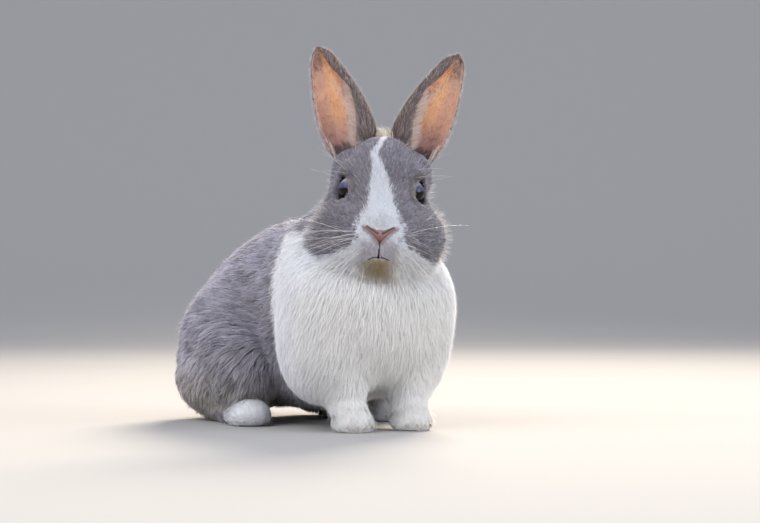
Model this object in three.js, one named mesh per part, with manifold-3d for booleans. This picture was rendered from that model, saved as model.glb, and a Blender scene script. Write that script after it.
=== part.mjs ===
// A Dutch rabbit sitting alert, life-size, as a still museum model.
// It faces -Y, its left side is at +X, and it stands on the plane z = 0. All sizes are in millimetres,
// out to the tips of the coat. The shape is a smooth field of ellipsoids and tapered bones, wrapped in
// meshes and parted by thin cuts: the head and the limbs are whole forms set in pockets of the trunk.
import * as THREE from 'three';
import { mergeVertices } from 'three/addons/utils/BufferGeometryUtils.js';
import Module from 'manifold-3d';

const wasm = await Module();
wasm.setup();

const { degToRad, lerp, smoothstep, clamp } = THREE.MathUtils;

// ---------- driving dimensions ----------
const GAP = 0.4; // clear width of every cut between two pieces
const POCKET = 1.7; // level of the coarser wrap that makes room for a form in its neighbours
const SLIVER = 0.12; // the cuts leave no triangle narrower than this
const SIDES = [['right', -1], ['left', 1]];
const CELL = { // how fine each wrap is
  trunk: 17.2, head: 9.1, foreleg: 7.6, hindfoot: 7.8, tail: 9, nose: 2.6, pocket: 9.4, headRoom: 11,
};

const EYE_LEVEL = 164; // height of the eyes above the floor
const HEAD_PLACE = [0, -78, EYE_LEVEL];
const HEAD_TURN = degToRad(-27); // towards its own right
const HEAD_TILT = degToRad(3.2); // left cheek lower

const EYE = { radius: 8.5, x: 20.3, y: -9 };
const NOSE = { y: -46, z: -26.5 };
const EAR = {
  length: 94, halfWidth: 19.4, root: [12.6, 17, 13],
  lean: degToRad(23.3), back: degToRad(11), // outwards and backwards
  rim: degToRad(15), // where the outer rim stands
  roll: { root: degToRad(106), waist: degToRad(46), tip: degToRad(68) }, // how far the inner edge rolls over
  depth: [0.85, 0.35], thickness: [3.6, 2.4], // from root to tip, the depth as a share of the width
};

const FORELEG = { elbow: [31, -52, 52], wrist: [24, -73, 20], paw: [22.5, -81, 7] };
const HIND = { hip: [44, 74, 52], knee: [53, 30, 38], heel: [50, 88, 11], toes: [56, 14, 9] };
const TOE = { fore: [5, 10], hind: [5.4, 14] }; // radius and length
const FORE_TOES = [[-9, 3], [-3, 0], [3, 0], [9, 3]]; // across, and back from the longest toe
const HIND_TOES = [[-9, 4], [-3, 0], [3, 1], [9, 6]];

// ---------- the field: each form gives the distance to its surface, less than 0 inside ----------
function ball([cx, cy, cz], [rx, ry, rz]) {
  return (x, y, z) => {
    const [u, v, w] = [(x - cx) / rx, (y - cy) / ry, (z - cz) / rz];
    const near = Math.hypot(u, v, w);
    const slope = Math.hypot(u / rx, v / ry, w / rz);
    return slope < 1e-9 ? -Math.min(rx, ry, rz) : (near * (near - 1)) / slope;
  };
}

function bone(a, b, startRadius, endRadius) {
  const d = [b[0] - a[0], b[1] - a[1], b[2] - a[2]];
  const length2 = d[0] ** 2 + d[1] ** 2 + d[2] ** 2;
  return (x, y, z) => {
    const [px, py, pz] = [x - a[0], y - a[1], z - a[2]];
    const along = clamp((px * d[0] + py * d[1] + pz * d[2]) / length2, 0, 1);
    const away = Math.hypot(px - along * d[0], py - along * d[1], pz - along * d[2]);
    return away - lerp(startRadius, endRadius, along);
  };
}

// Forms joined with a fillet of about the given width.
function blend(width, ...forms) {
  return (x, y, z) => forms.reduce((d, form) => {
    const e = form(x, y, z);
    const h = Math.max(width - Math.abs(d - e), 0) / width;
    return Math.min(d, e) - (h * h * width) / 4;
  }, 1e3);
}

const onSide = ([x, y, z], side) => [x * side, y, z];
const pair = (make) => SIDES.flatMap(([, side]) => make(side));

// ---------- the trunk, neck, haunches and limbs ----------
const torso = blend(26,
  ball([0, 88, 68], [57, 58, 61]), // rump
  ball([0, 44, 86], [53, 56, 60]), // loin
  ball([0, -14, 90], [51, 52, 58]), // shoulders
  ball([0, -59, 85], [65, 46, 58]), // chest
  bone([0, -30, 114], [3, -61, 150], 40.5, 34), // neck
  ball([0, 12, 46], [42, 70, 36]), // belly
);

const body = blend(16, torso, ...pair((side) => [
  ball([34 * side, -52, 54], [27, 34, 37]), // upper arm
  bone([29 * side, -57, 56], [24 * side, -71, 34], 20, 14.5), // the coat over the forearm
  ball(onSide(HIND.hip, side), [33, 55, 46]),
  ball([43 * side, 83, 26.5], [32, 46, 25]), // lower haunch, over the heel
  ball(onSide(HIND.knee, side), [24, 28, 30]),
]));

const toeTips = (spread, [x, y], height, side) =>
  spread.map(([dx, dy]) => [(x + dx) * side, y + dy, height]);
const foreToeTips = (side) => toeTips(FORE_TOES, [FORELEG.paw[0], FORELEG.paw[1] - 6], 5, side);
const hindToeTips = (side) => toeTips(HIND_TOES, [HIND.toes[0], HIND.toes[1] - 8], 5.6, side);
const toes = (tips, [radius, length]) =>
  tips.map(([x, y, z]) => bone([x, y + length, z + 1], [x, y, z], radius, radius));

function foreLimb(side) {
  const [elbow, wrist, paw] = [FORELEG.elbow, FORELEG.wrist, FORELEG.paw].map((p) => onSide(p, side));
  const leg = blend(7, bone(elbow, wrist, 17, 12.5), bone(wrist, paw, 12.5, 9.5), ball(paw, [12.5, 13, 9.5]));
  return blend(3, leg, ...toes(foreToeTips(side), TOE.fore));
}

function hindFoot(side) {
  const [heel, front] = [onSide(HIND.heel, side), onSide(HIND.toes, side)];
  return blend(3, blend(7, bone(heel, front, 12, 11.5), ball(front, [14, 17, 10.5])),
    ...toes(hindToeTips(side), TOE.hind));
}

const tail = blend(8, ball([0, 141, 36], [15, 15, 15]), ball([0, 148, 55], [19, 14, 21]));

// ---------- the head, in its own frame: x to its left, y backwards, z up, 0 at the eyes' level ----------
const face = blend(20,
  ball([0, 10, 5.5], [28.5, 34, 32.5]), // cranium
  bone([0, -12, 5], [0, -34, -19], 15.5, 10.5), // bridge of the nose
  ball([0, -18, -29], [20, 22, 18]), // muzzle
  ...pair((side) => [bone([14 * side, 8, -9], [22 * side, -2, -29.5], 14, 23.3)]), // cheeks
  ball([0, -6, -40], [32, 26, 13.5]), // jaw
);
const skull = blend(9, face,
  ...pair((side) => [
    ball([18.5 * side, -4, 11], [10, 11, 7]), // brow
    ball([23 * side, 17, 13], [10.5, 12, 14]), // root of the ear
    ball([8.5 * side, -35, -34], [10, 10.5, 9.5]), // whisker pad
  ]),
  ball([0, -27, -44], [11, 11, 9]), // chin
);

const nosePad = blend(3,
  ...pair((side) => [
    bone([1.5 * side, NOSE.y, NOSE.z - 1], [7.2 * side, NOSE.y + 2.4, NOSE.z + 3.4], 2.6, 2),
  ]),
  bone([0, NOSE.y - 0.2, NOSE.z - 1], [0, NOSE.y + 0.6, NOSE.z - 5], 2.6, 1.5),
);

// ---------- meshes ----------
function slopeOf(field, [x, y, z], step = 0.05) {
  return new THREE.Vector3(
    field(x + step, y, z) - field(x - step, y, z),
    field(x, y + step, z) - field(x, y - step, z),
    field(x, y, z + step) - field(x, y, z - step),
  ).divideScalar(2 * step);
}

// Moves a point along the field's slope until the field has the given level there.
function settle(point, field, level) {
  for (let i = 0; i < 3; i++) {
    const slope = slopeOf(field, point);
    const move = (level - field(...point)) / Math.max(slope.lengthSq(), 0.1);
    point[0] += slope.x * move;
    point[1] += slope.y * move;
    point[2] += slope.z * move;
  }
}

// The closed surface on which the field has a level, as one vertex in each cell that it crosses.
function wrap(field, low, high, cell, level = 0) {
  const count = low.map((v, i) => Math.ceil((high[i] - v) / cell) + 1);
  const at = (i, j, k) => (k * count[1] + j) * count[0] + i;
  const place = (i, axis) => low[axis] + i * cell;
  const value = new Float32Array(count[0] * count[1] * count[2]);
  for (let k = 0; k < count[2]; k++)
    for (let j = 0; j < count[1]; j++)
      for (let i = 0; i < count[0]; i++) {
        const edge = [i, j, k].some((n, axis) => n === 0 || n === count[axis] - 1);
        const d = edge ? cell : field(place(i, 0), place(j, 1), place(k, 2)) - level;
        value[at(i, j, k)] = d === 0 ? 1e-6 : d;
      }

  const points = [];
  const vertexOf = new Map();
  const CORNERS = [0, 1, 2, 3, 4, 5, 6, 7].map((n) => [n & 1, (n >> 1) & 1, n >> 2]);
  for (let k = 0; k < count[2] - 1; k++)
    for (let j = 0; j < count[1] - 1; j++)
      for (let i = 0; i < count[0] - 1; i++) {
        const sum = [0, 0, 0, 0];
        CORNERS.forEach((a, m) => CORNERS.slice(m + 1).forEach((b) => {
          if (Math.abs(a[0] - b[0]) + Math.abs(a[1] - b[1]) + Math.abs(a[2] - b[2]) !== 1) return;
          const va = value[at(i + a[0], j + a[1], k + a[2])];
          const vb = value[at(i + b[0], j + b[1], k + b[2])];
          if (va < 0 === vb < 0) return;
          const share = va / (va - vb);
          [i, j, k].forEach((n, axis) => { sum[axis] += n + a[axis] + share * (b[axis] - a[axis]); });
          sum[3] += 1;
        }));
        if (!sum[3]) continue;
        vertexOf.set(at(i, j, k), points.length);
        points.push([0, 1, 2].map((axis) => low[axis] + (sum[axis] / sum[3]) * cell));
      }

  const quads = [];
  const AXES = [[1, 0, 0], [0, 1, 0], [0, 0, 1]];
  for (let k = 0; k < count[2] - 1; k++)
    for (let j = 0; j < count[1] - 1; j++)
      for (let i = 0; i < count[0] - 1; i++) {
        const inside = value[at(i, j, k)] < 0;
        AXES.forEach(([di, dj, dk], axis) => {
          const [u, v] = [AXES[(axis + 1) % 3], AXES[(axis + 2) % 3]];
          if (inside === value[at(i + di, j + dj, k + dk)] < 0) return;
          const cellAt = (su, sv) => vertexOf.get(
            at(i - su * u[0] - sv * v[0], j - su * u[1] - sv * v[1], k - su * u[2] - sv * v[2]));
          const quad = [cellAt(1, 1), cellAt(0, 1), cellAt(0, 0), cellAt(1, 0)];
          quads.push(inside ? quad : quad.reverse());
        });
      }

  const around = points.map(() => []);
  quads.forEach((quad) => quad.forEach((n, i) => around[n].push(quad[(i + 1) % 4])));
  const movable = points.map((p) => p.every((v, axis) => v > low[axis] + cell && v < high[axis] - cell));
  for (let round = 0; round < 3; round++) {
    const centres = around.map((ring) => [0, 1, 2].map((axis) =>
      ring.reduce((sum, n) => sum + points[n][axis], 0) / ring.length));
    points.forEach((p, n) => {
      if (!movable[n]) return;
      p.forEach((v, axis) => { p[axis] = lerp(v, centres[n][axis], 0.5); });
      settle(p, field, level);
    });
  }

  const triangles = quads.flatMap(([a, b, c, d]) => {
    const reach = (m, n) => Math.hypot(...points[m].map((v, axis) => v - points[n][axis]));
    return reach(a, c) <= reach(b, d) ? [a, b, c, a, c, d] : [a, b, d, b, c, d];
  });
  const geometry = new THREE.BufferGeometry();
  geometry.setAttribute('position', new THREE.Float32BufferAttribute(points.flat(), 3));
  geometry.setIndex(triangles);
  return geometry;
}

function solidOf(geometry) {
  const bare = geometry.clone();
  bare.deleteAttribute('normal');
  bare.deleteAttribute('uv');
  const merged = mergeVertices(bare, 1e-4);
  return new wasm.Manifold(new wasm.Mesh({
    numProp: 3,
    vertProperties: merged.getAttribute('position').array,
    triVerts: new Uint32Array(merged.index.array),
  }));
}

function geometryOf(solid) {
  const { vertProperties, triVerts } = solid.simplify(SLIVER).getMesh();
  const geometry = new THREE.BufferGeometry();
  geometry.setAttribute('position', new THREE.BufferAttribute(new Float32Array(vertProperties), 3));
  geometry.setIndex(new THREE.BufferAttribute(new Uint32Array(triVerts), 1));
  return geometry;
}

const moved = (geometry, matrix) => geometry.clone().applyMatrix4(matrix);

// ---------- cutters: each is used as it is for its piece, and grown by the gap for the neighbours ----------
const NECK_PLANE = { point: [0, -40, 130], slope: degToRad(26.5), size: 400 };
function neckCutter(grow) {
  const half = new THREE.BoxGeometry(NECK_PLANE.size, NECK_PLANE.size, NECK_PLANE.size);
  half.translate(0, 0, NECK_PLANE.size / 2 - grow).rotateX(NECK_PLANE.slope);
  return solidOf(half.translate(...NECK_PLANE.point));
}

const THIGH_OVAL = { centre: [58, 47], half: [64, 49], inside: 43, outside: 110 };
function thighCutter(side, grow) {
  const { centre, half, inside, outside } = THIGH_OVAL;
  const drum = new THREE.CylinderGeometry(1, 1, outside - inside + grow, 18).rotateZ(Math.PI / 2);
  drum.scale(1, half[0] + grow, half[1] + grow);
  return solidOf(drum.translate(((inside - grow + outside) / 2) * side, ...centre));
}

function slab(bottom, top) {
  const size = 600;
  return solidOf(new THREE.BoxGeometry(size, size, top - bottom).translate(0, 0, (top + bottom) / 2));
}

// ---------- the head's pieces ----------
const headMatrix = new THREE.Matrix4().compose(
  new THREE.Vector3(...HEAD_PLACE),
  new THREE.Quaternion().setFromEuler(new THREE.Euler(0, HEAD_TILT, HEAD_TURN, 'ZYX')),
  new THREE.Vector3(1, 1, 1),
);
const HEAD_BOX = [[-62, -66, -72], [62, 62, 52]];
const NOSE_BOX = [[-14, -58, -43], [14, -32, -12]];

function eyeball(side, grow) {
  const sphere = new THREE.SphereGeometry(EYE.radius + grow, 12, 8);
  return solidOf(sphere.translate(EYE.x * side, EYE.y, 0));
}

// What the lids leave clear in front of the eyeball.
function lidOpening(side) {
  const sphere = new THREE.SphereGeometry(EYE.radius, 10, 6);
  return solidOf(sphere.translate((EYE.x + 1.15 * EYE.radius) * side, EYE.y, 0));
}

// An ear is a cupped blade that opens forwards and outwards. Its section is an arc of an oval, from the
// outer rim round the back to the inner edge, which rolls over to the front.
function earHalfWidth(s) {
  const fromTip = (1 - s) * EAR.length;
  const roundTip = 0.3 * (1 - Math.exp(-fromTip / 2.2));
  const blade = roundTip + 0.7 * Math.sin((Math.PI / 2) * Math.min(1, fromTip / 62));
  return Math.max(1.6, EAR.halfWidth * blade * lerp(0.78, 1, smoothstep(s, 0, 0.35)));
}

// The roll narrows the opening to a notch at the root, and leaves it widest at the waist.
function earRoll(s) {
  const { root, waist, tip } = EAR.roll;
  const [WAIST_AT, TIP_AT] = [0.62, 0.9];
  if (s < WAIST_AT) return lerp(waist, root, (1 - s / WAIST_AT) ** 1.3);
  return lerp(waist, tip, smoothstep(s, WAIST_AT, TIP_AT));
}

function earSolid(side) {
  const STATIONS = 9;
  const ACROSS = 7;
  const axis = new THREE.Vector3(0, 0, 1)
    .applyAxisAngle(new THREE.Vector3(1, 0, 0), -EAR.back)
    .applyAxisAngle(new THREE.Vector3(0, 1, 0), EAR.lean);
  const front = new THREE.Vector3(0, -1, 0).addScaledVector(axis, axis.y).normalize();
  const outward = new THREE.Vector3().crossVectors(axis, front);

  const points = [];
  const rows = [];
  for (let i = 0; i <= STATIONS; i++) {
    const s = 1 - (1 - i / STATIONS) ** 1.6; // closer together towards the tip
    const wide = earHalfWidth(s);
    const deep = wide * lerp(...EAR.depth, s);
    const thick = Math.min(lerp(...EAR.thickness, s), wide * 1.2);
    const centre = new THREE.Vector3(...EAR.root).addScaledVector(axis, s * EAR.length);
    const arc = (shift) => Array.from({ length: ACROSS + 1 }, (_, j) => {
      const angle = lerp(EAR.rim, -Math.PI - earRoll(s), j / ACROSS);
      const edge = 1 - 0.5 * Math.abs((2 * j) / ACROSS - 1) ** 4; // thin edges
      const [c, d] = [Math.cos(angle), Math.sin(angle)];
      const slope = Math.hypot(c * deep, d * wide);
      const p = centre.clone()
        .addScaledVector(outward, wide * c + (shift * thick * edge * c * deep) / slope)
        .addScaledVector(front, deep * d + (shift * thick * edge * d * wide) / slope);
      return points.push(p.x * side, p.y, p.z) / 3 - 1;
    });
    rows.push([...arc(0), ...arc(-1).reverse()]);
  }
  const ring = rows[0].length;
  const triangles = [];
  const quad = (a, b, c, d) => triangles.push(a, b, c, a, c, d);
  for (let i = 0; i < STATIONS; i++)
    for (let j = 0; j < ring; j++) {
      const next = (j + 1) % ring;
      quad(rows[i][j], rows[i][next], rows[i + 1][next], rows[i + 1][j]);
    }
  for (const [row, flip] of [[rows[0], true], [rows[STATIONS], false]])
    for (let j = 0; j < ACROSS; j++) {
      const corners = [row[j], row[j + 1], row[ring - 2 - j], row[ring - 1 - j]];
      quad(...(flip ? corners.reverse() : corners));
    }
  const geometry = new THREE.BufferGeometry();
  geometry.setAttribute('position', new THREE.Float32BufferAttribute(points, 3));
  geometry.setIndex(side < 0 ? triangles.reverse() : triangles);
  return solidOf(geometry);
}

// ---------- claws ----------
const CLAW = { length: 11.5, radius: 1.9, droop: 0.25, bend: 1.2, rooted: 2 };
function clawSolid([x, y, z], grow) {
  const length = CLAW.length + 4 * grow;
  const claw = new THREE.ConeGeometry(CLAW.radius + grow, length, 6, 2);
  claw.translate(0, length / 2 - grow, 0).rotateX(Math.PI + CLAW.droop); // forward and a little down
  const position = claw.getAttribute('position');
  for (let i = 0; i < position.count; i++) {
    const reach = Math.abs(position.getY(i)) / length;
    position.setZ(i, position.getZ(i) - CLAW.bend * reach * reach);
  }
  return solidOf(claw.translate(x, y - CLAW.rooted, z + 0.8));
}

// ---------- assembly ----------
const COLOURS = {
  grey: new THREE.Color(0.36, 0.34, 0.37),
  white: new THREE.Color(0.86, 0.85, 0.83),
  skin: new THREE.Color(0.72, 0.42, 0.36),
  eye: new THREE.Color(0.03, 0.02, 0.02),
  claw: new THREE.Color(0.62, 0.55, 0.48),
};

function mesh(name, solid, colour, roughness = 0.9) {
  const material = new THREE.MeshStandardMaterial({ color: COLOURS[colour], roughness, metalness: 0 });
  const made = new THREE.Mesh(geometryOf(solid), material);
  made.name = name;
  return made;
}

const wrapped = (field, [low, high], cell, level = 0) => solidOf(wrap(field, low, high, cell, level));
const pocket = (field, box) => wrapped(field, box, CELL.pocket, POCKET);

const rabbit = new THREE.Group();
const headGroup = new THREE.Group();
headGroup.applyMatrix4(headMatrix);
rabbit.add(headGroup);

// the head, with room for the eyes and the nose, and the ears on it
let head = wrapped(skull, HEAD_BOX, CELL.head).subtract(wrapped(nosePad, NOSE_BOX, CELL.nose, GAP + 0.3));
const headOutside = wrapped(skull, HEAD_BOX, CELL.head, GAP + 0.15);
for (const [name, side] of SIDES) {
  head = head.subtract(eyeball(side, GAP)).subtract(lidOpening(side));
  headGroup.add(mesh(`eye_${name}`, eyeball(side, 0), 'eye', 0.05));
  headGroup.add(mesh(`ear_${name}`, earSolid(side).subtract(headOutside), 'grey'));
}
headGroup.add(mesh('nose', wrapped(nosePad, NOSE_BOX, CELL.nose), 'skin', 0.5));
headGroup.add(mesh('head', head, 'grey'));
const headRoom = solidOf(moved(wrap(skull, ...HEAD_BOX, CELL.headRoom, POCKET), headMatrix));

// the limbs, with their claws, and their pockets
const FORE_BOX = { inner: -10, outer: 75, back: -5, front: -125, top: 95 };
const HIND_BOX = { inner: 10, outer: 100, back: 130, front: -40, top: 55 };
const limbBox = ({ inner, outer, back, front, top }, side) => [
  [Math.min(inner * side, outer * side), front, -25],
  [Math.max(inner * side, outer * side), back, top],
];
const WRIST_CUT = 15; // height of the cut between foreleg and forepaw
const SKY = 300; // above everything
const aboveFloor = slab(0, SKY);
const pockets = [headRoom];
const TAIL_BOX = [[-30, 115, 5], [30, 180, 90]];
for (const [name, side] of SIDES) {
  const clawed = (limb, kind, tips) => tips.reduce((solid, tip, i) => {
    rabbit.add(mesh(`claw_${kind}_${name}_${i + 1}`, clawSolid(tip, 0), 'claw', 0.4));
    return solid.subtract(clawSolid(tip, GAP));
  }, limb);
  const fore = wrapped(foreLimb(side), limbBox(FORE_BOX, side), CELL.foreleg).intersect(aboveFloor);
  rabbit.add(mesh(`foreleg_${name}`, fore.intersect(slab(WRIST_CUT + GAP, SKY)), 'white'));
  const paw = clawed(fore.intersect(slab(0, WRIST_CUT)), 'forepaw', foreToeTips(side));
  rabbit.add(mesh(`forepaw_${name}`, paw, 'white'));
  const hind = wrapped(hindFoot(side), limbBox(HIND_BOX, side), CELL.hindfoot).intersect(aboveFloor);
  rabbit.add(mesh(`hindfoot_${name}`, clawed(hind, 'hindfoot', hindToeTips(side)), 'white'));
  pockets.push(pocket(foreLimb(side), limbBox(FORE_BOX, side)));
  pockets.push(pocket(hindFoot(side), limbBox(HIND_BOX, side)));
}

// the tail, and the trunk parted from the neck and the thighs
rabbit.add(mesh('tail', wrapped(tail, TAIL_BOX, CELL.tail), 'grey'));
pockets.push(pocket(tail, TAIL_BOX));
const BODY_BOX = [[-105, -140, -10], [105, 195, 215]];
const whole = pockets.reduce((solid, room) => solid.subtract(room), wrapped(body, BODY_BOX, CELL.trunk));
rabbit.add(mesh('neck', whole.intersect(neckCutter(0)), 'white'));
let trunk = whole.subtract(neckCutter(GAP));
for (const [name, side] of SIDES) {
  rabbit.add(mesh(`thigh_${name}`, whole.intersect(thighCutter(side, 0)), 'grey'));
  trunk = trunk.subtract(thighCutter(side, GAP));
}
rabbit.add(mesh('trunk', trunk, 'grey'));

// the origin is under the middle of the whole, on the floor
const extent = new THREE.Box3().setFromObject(rabbit, true);
const middle = extent.getCenter(new THREE.Vector3());
rabbit.position.set(-middle.x, -middle.y, -extent.min.z);
const model = new THREE.Group();
model.add(rabbit);

export default model;
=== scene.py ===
"""The looks of a Dutch rabbit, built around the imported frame: its skin, coat, eyes, nose, claws and whiskers.

The skin is drawn again from the same named forms as the solids, a coat's depth inside them. The coat is
combed over it: every tuft starts on the skin, follows the lie of the coat and ends at the solids' outline.
Forms, depths and lengths are in millimetres, in the body's own frame: -Y is forwards, +X the animal's left.
"""

import math

import bmesh
import bpy
import numpy as np
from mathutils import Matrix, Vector, kdtree


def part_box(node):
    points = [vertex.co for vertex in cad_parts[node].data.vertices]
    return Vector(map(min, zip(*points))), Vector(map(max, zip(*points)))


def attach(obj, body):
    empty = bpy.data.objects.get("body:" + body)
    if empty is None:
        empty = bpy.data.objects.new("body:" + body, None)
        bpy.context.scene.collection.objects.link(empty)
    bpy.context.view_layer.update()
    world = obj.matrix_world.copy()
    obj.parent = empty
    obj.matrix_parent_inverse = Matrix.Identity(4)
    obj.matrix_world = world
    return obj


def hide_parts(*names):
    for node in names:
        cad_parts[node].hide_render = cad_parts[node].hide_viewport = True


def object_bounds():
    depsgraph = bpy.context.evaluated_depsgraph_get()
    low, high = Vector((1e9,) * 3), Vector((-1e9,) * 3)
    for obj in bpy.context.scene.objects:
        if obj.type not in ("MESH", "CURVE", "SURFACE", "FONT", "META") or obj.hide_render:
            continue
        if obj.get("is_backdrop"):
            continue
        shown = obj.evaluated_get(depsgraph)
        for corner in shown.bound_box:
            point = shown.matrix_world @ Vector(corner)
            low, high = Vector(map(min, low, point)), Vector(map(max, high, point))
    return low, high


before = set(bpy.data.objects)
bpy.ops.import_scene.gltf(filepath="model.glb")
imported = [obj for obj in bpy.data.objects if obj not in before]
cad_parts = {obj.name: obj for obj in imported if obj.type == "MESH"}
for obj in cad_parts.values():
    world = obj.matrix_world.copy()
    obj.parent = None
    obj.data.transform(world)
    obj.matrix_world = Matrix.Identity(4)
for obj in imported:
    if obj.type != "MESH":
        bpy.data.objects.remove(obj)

CAD_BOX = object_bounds()
MM = 0.001
F32 = np.float32
BOTH = (("right", -1), ("left", 1))

# ---------- the animal's measures, the same as the solids' ----------
EYE_LEVEL = 164
HEAD_PLACE = np.array([0, -78, EYE_LEVEL])
HEAD_TURN = math.radians(-27)
HEAD_TILT = math.radians(3.2)
EYE_RADIUS = 8.5
EYE_X = 20.3
EYE_Y = -9
NOSE_Y = -46
NOSE_Z = -26.5
EAR_LENGTH = 94
EAR_HALF = 19.4
EAR_ROOT = np.array([12.6, 17, 13])
EAR_LEAN = math.radians(23.3)
EAR_BACK = math.radians(11)
EAR_RIM = math.radians(15)
EAR_ROLL = {"root": math.radians(106), "waist": math.radians(46), "tip": math.radians(68)}
EAR_DEPTH = (0.85, 0.35)  # as a share of the half width, at the root and at the tip
EAR_WALL = (3.6, 2.4)  # at the root and at the tip
ELBOW, WRIST, PAW = np.array([31, -52, 52]), np.array([24, -73, 20]), np.array([22.5, -81, 7])
HIP, KNEE = np.array([44, 74, 52]), np.array([53, 30, 38])
HEEL, TOES = np.array([50, 88, 11]), np.array([56, 14, 9])
FORE_TOES = ((-9, 3), (-3, 0), (3, 0), (9, 3))  # each toe's place across the paw and along it
HIND_TOES = ((-9, 4), (-3, 0), (3, 1), (9, 6))
SADDLE_EDGE = -25  # the grey of the back starts behind this plane
MOUTH_Z = -45.3
MOUTH_HALF = 8.0
MOUTH_ARCH = 0.045  # its line drops by this times the square of the distance from the middle
LID_TURN = math.radians(22)
LID_HALF = (7.4, 8.0)  # the opening's half width and half height
LID_THICKNESS = 0.9
LID_CLEAR = 1.1  # no hair grows or hangs nearer to the opening than this times its size
EAR_SKIN = 1.7  # the thickness of the ears' skin, their coat left out
EAR_JOIN = 3.5  # the width over which the ears run into the head
LID_JOIN = 5
LID_EDGE = 0.8
LID_REACH = 22  # the opening is cut out to this distance from the eye's middle
FAR = 50  # the field's value where it isn't worked out
GROUPS = ("head", "body", "fore", "hind", "tail")
GROUP_BLEND = 2.2  # how wide the looks of one group of forms run over into the next
JOINS = {"head": 9, "fore": 8, "hind": 5, "tail": 6}  # the widths over which they run into the body

# ---------- the sizes of the meshes and of the tufts ----------
SKIN_CELL = 1.5
NOSE_CELL = 0.4
FIELD_CELL = 2.4  # of the grid that the tufts are combed by
BOX_MARGIN = 0.0001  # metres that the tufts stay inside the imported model's box
SHARE_GROWN = 1.0
PIECE_LIMIT = 39000  # tufts in one piece, so that it stays under 200,000 triangles
STEPS = 3  # lengths of a tuft between its root and its tip
RISE = np.array([0, 0.5, 0.86, 1.0])  # how far out of the coat each of its points is
TAPER = np.array([0.75, 1.0, 0.7])
STRIP = np.array([0, 1, 3, 2, 2, 3, 5, 4, 4, 5, 6])  # the corners of a tuft's two quads and triangle
STRIP_SIDE = np.array([-1, 1, -1, 1, -1, 1, 0])  # the side of the tuft that each of its corners is on
STRIP_FAR = np.array([0, 0, 1, 1, 2, 2, 3]) / STEPS  # how far along the tuft it is
TUFT_ROLL = 0.3  # how much the tufts turn about their own length
LOCK = 12  # tufts in a lock on the body, on the average
EAR_LOCK = 9
PATCH = 0.003  # a tuft's size on the map for baking
MAP_START, MAP_SPAN = 0.002, 0.996  # the part of the map that the places of the roots take up

rng = np.random.default_rng(11)


def mix(a, b, t):
    return a + (b - a) * t


def ramp(x, start, end):
    """0 before start, 1 after end, smooth between."""
    t = np.clip((x - start) / (end - start), 0, 1)
    return t * t * (3 - 2 * t)


def tint(colour, towards, share):
    """Colours mixed with another one, by a share at each point."""
    return mix(colour, towards, share[:, None])


def unit(v):
    return v / np.maximum(np.linalg.norm(v, axis=-1, keepdims=True), 1e-9)


def rotation(axis, angle):
    c, s = math.cos(angle), math.sin(angle)
    i, j = [n for n in range(3) if n != axis]
    m = np.eye(3)
    m[i, i] = m[j, j] = c
    m[i, j], m[j, i] = (-s, s) if axis != 1 else (s, -s)
    return m


HEAD_AXES = rotation(2, HEAD_TURN) @ rotation(1, HEAD_TILT)


def in_head(p):
    """Points of the body's frame in the head's: x to its left, y backwards, z up, 0 at the eyes."""
    return (p - HEAD_PLACE) @ HEAD_AXES


def out_of_head(q):
    return q @ HEAD_AXES.T + HEAD_PLACE


def eye_middle():
    ends = [np.array(corner) for name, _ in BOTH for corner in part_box(f"eye_{name}")]
    return sum(ends) / len(ends) / MM


SHIFT = eye_middle() - out_of_head(np.array([0, EYE_Y, 0]))  # from the forms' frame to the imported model's


def to_row(p):
    """Points of the body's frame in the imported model's, in metres."""
    return (p + SHIFT) * MM


def from_row(p):
    return p / MM - SHIFT


LOW, HIGH = (from_row(np.array(corner)) for corner in CAD_BOX)


# ---------- the field: each form gives the distance to its surface, less than 0 inside ----------
def ball(centre, radii):
    c, r = np.array(centre, F32), np.array(radii, F32)

    def field(p):
        q = (p - c) / r
        near = np.sqrt((q * q).sum(1))
        slope = np.sqrt(((q / r) ** 2).sum(1))
        return near * (near - 1) / np.maximum(slope, 1e-6)

    return field


def bone(a, b, start, end):
    a, d = np.array(a, F32), np.array(b, F32) - np.array(a, F32)

    def field(p):
        q = p - a
        t = np.clip(q @ d / (d @ d), 0, 1)
        away = q - t[:, None] * d
        return np.sqrt((away * away).sum(1)) - mix(start, end, t)

    return field


def blend(width, *forms):
    def field(p):
        d = forms[0](p)
        for form in forms[1:]:
            d = join(width, d, form(p))
        return d

    return field


def join(width, d, e):
    h = np.maximum(width - np.abs(d - e), 0) / width
    return np.minimum(d, e) - h * h * width / 4


def carve(width, d, e):
    """The form d with the form e taken away, the edge rounded."""
    return -join(width, -d, e)


def on(side, p):
    return np.array([p[0] * side, p[1], p[2]])


torso = blend(
    26,
    ball([0, 88, 68], [57, 58, 61]),
    ball([0, 44, 86], [53, 56, 60]),
    ball([0, -14, 90], [51, 52, 58]),
    ball([0, -59, 85], [65, 46, 58]),
    bone([0, -30, 114], [3, -61, 150], 40.5, 34),
    ball([0, 12, 46], [42, 70, 36]),
)
body = blend(
    16,
    torso,
    *[
        form
        for _, side in BOTH
        for form in (
            ball([34 * side, -52, 54], [27, 34, 37]),
            bone([29 * side, -57, 56], [24 * side, -71, 34], 20, 14.5),
            ball(on(side, HIP), [33, 55, 46]),
            ball([43 * side, 83, 26.5], [32, 46, 25]),
            ball(on(side, KNEE), [24, 28, 30]),
        )
    ],
)


def toe_tips(spread, start, height, side):
    return [np.array([(start[0] + dx) * side, start[1] + dy, height]) for dx, dy in spread]


FORE_TIPS = {side: toe_tips(FORE_TOES, (PAW[0], PAW[1] - 6), 5, side) for _, side in BOTH}
HIND_TIPS = {side: toe_tips(HIND_TOES, (TOES[0], TOES[1] - 8), 5.6, side) for _, side in BOTH}


def toes(tips, radius, length):
    return [bone(tip + [0, length, 1], tip, radius, radius) for tip in tips]


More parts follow.
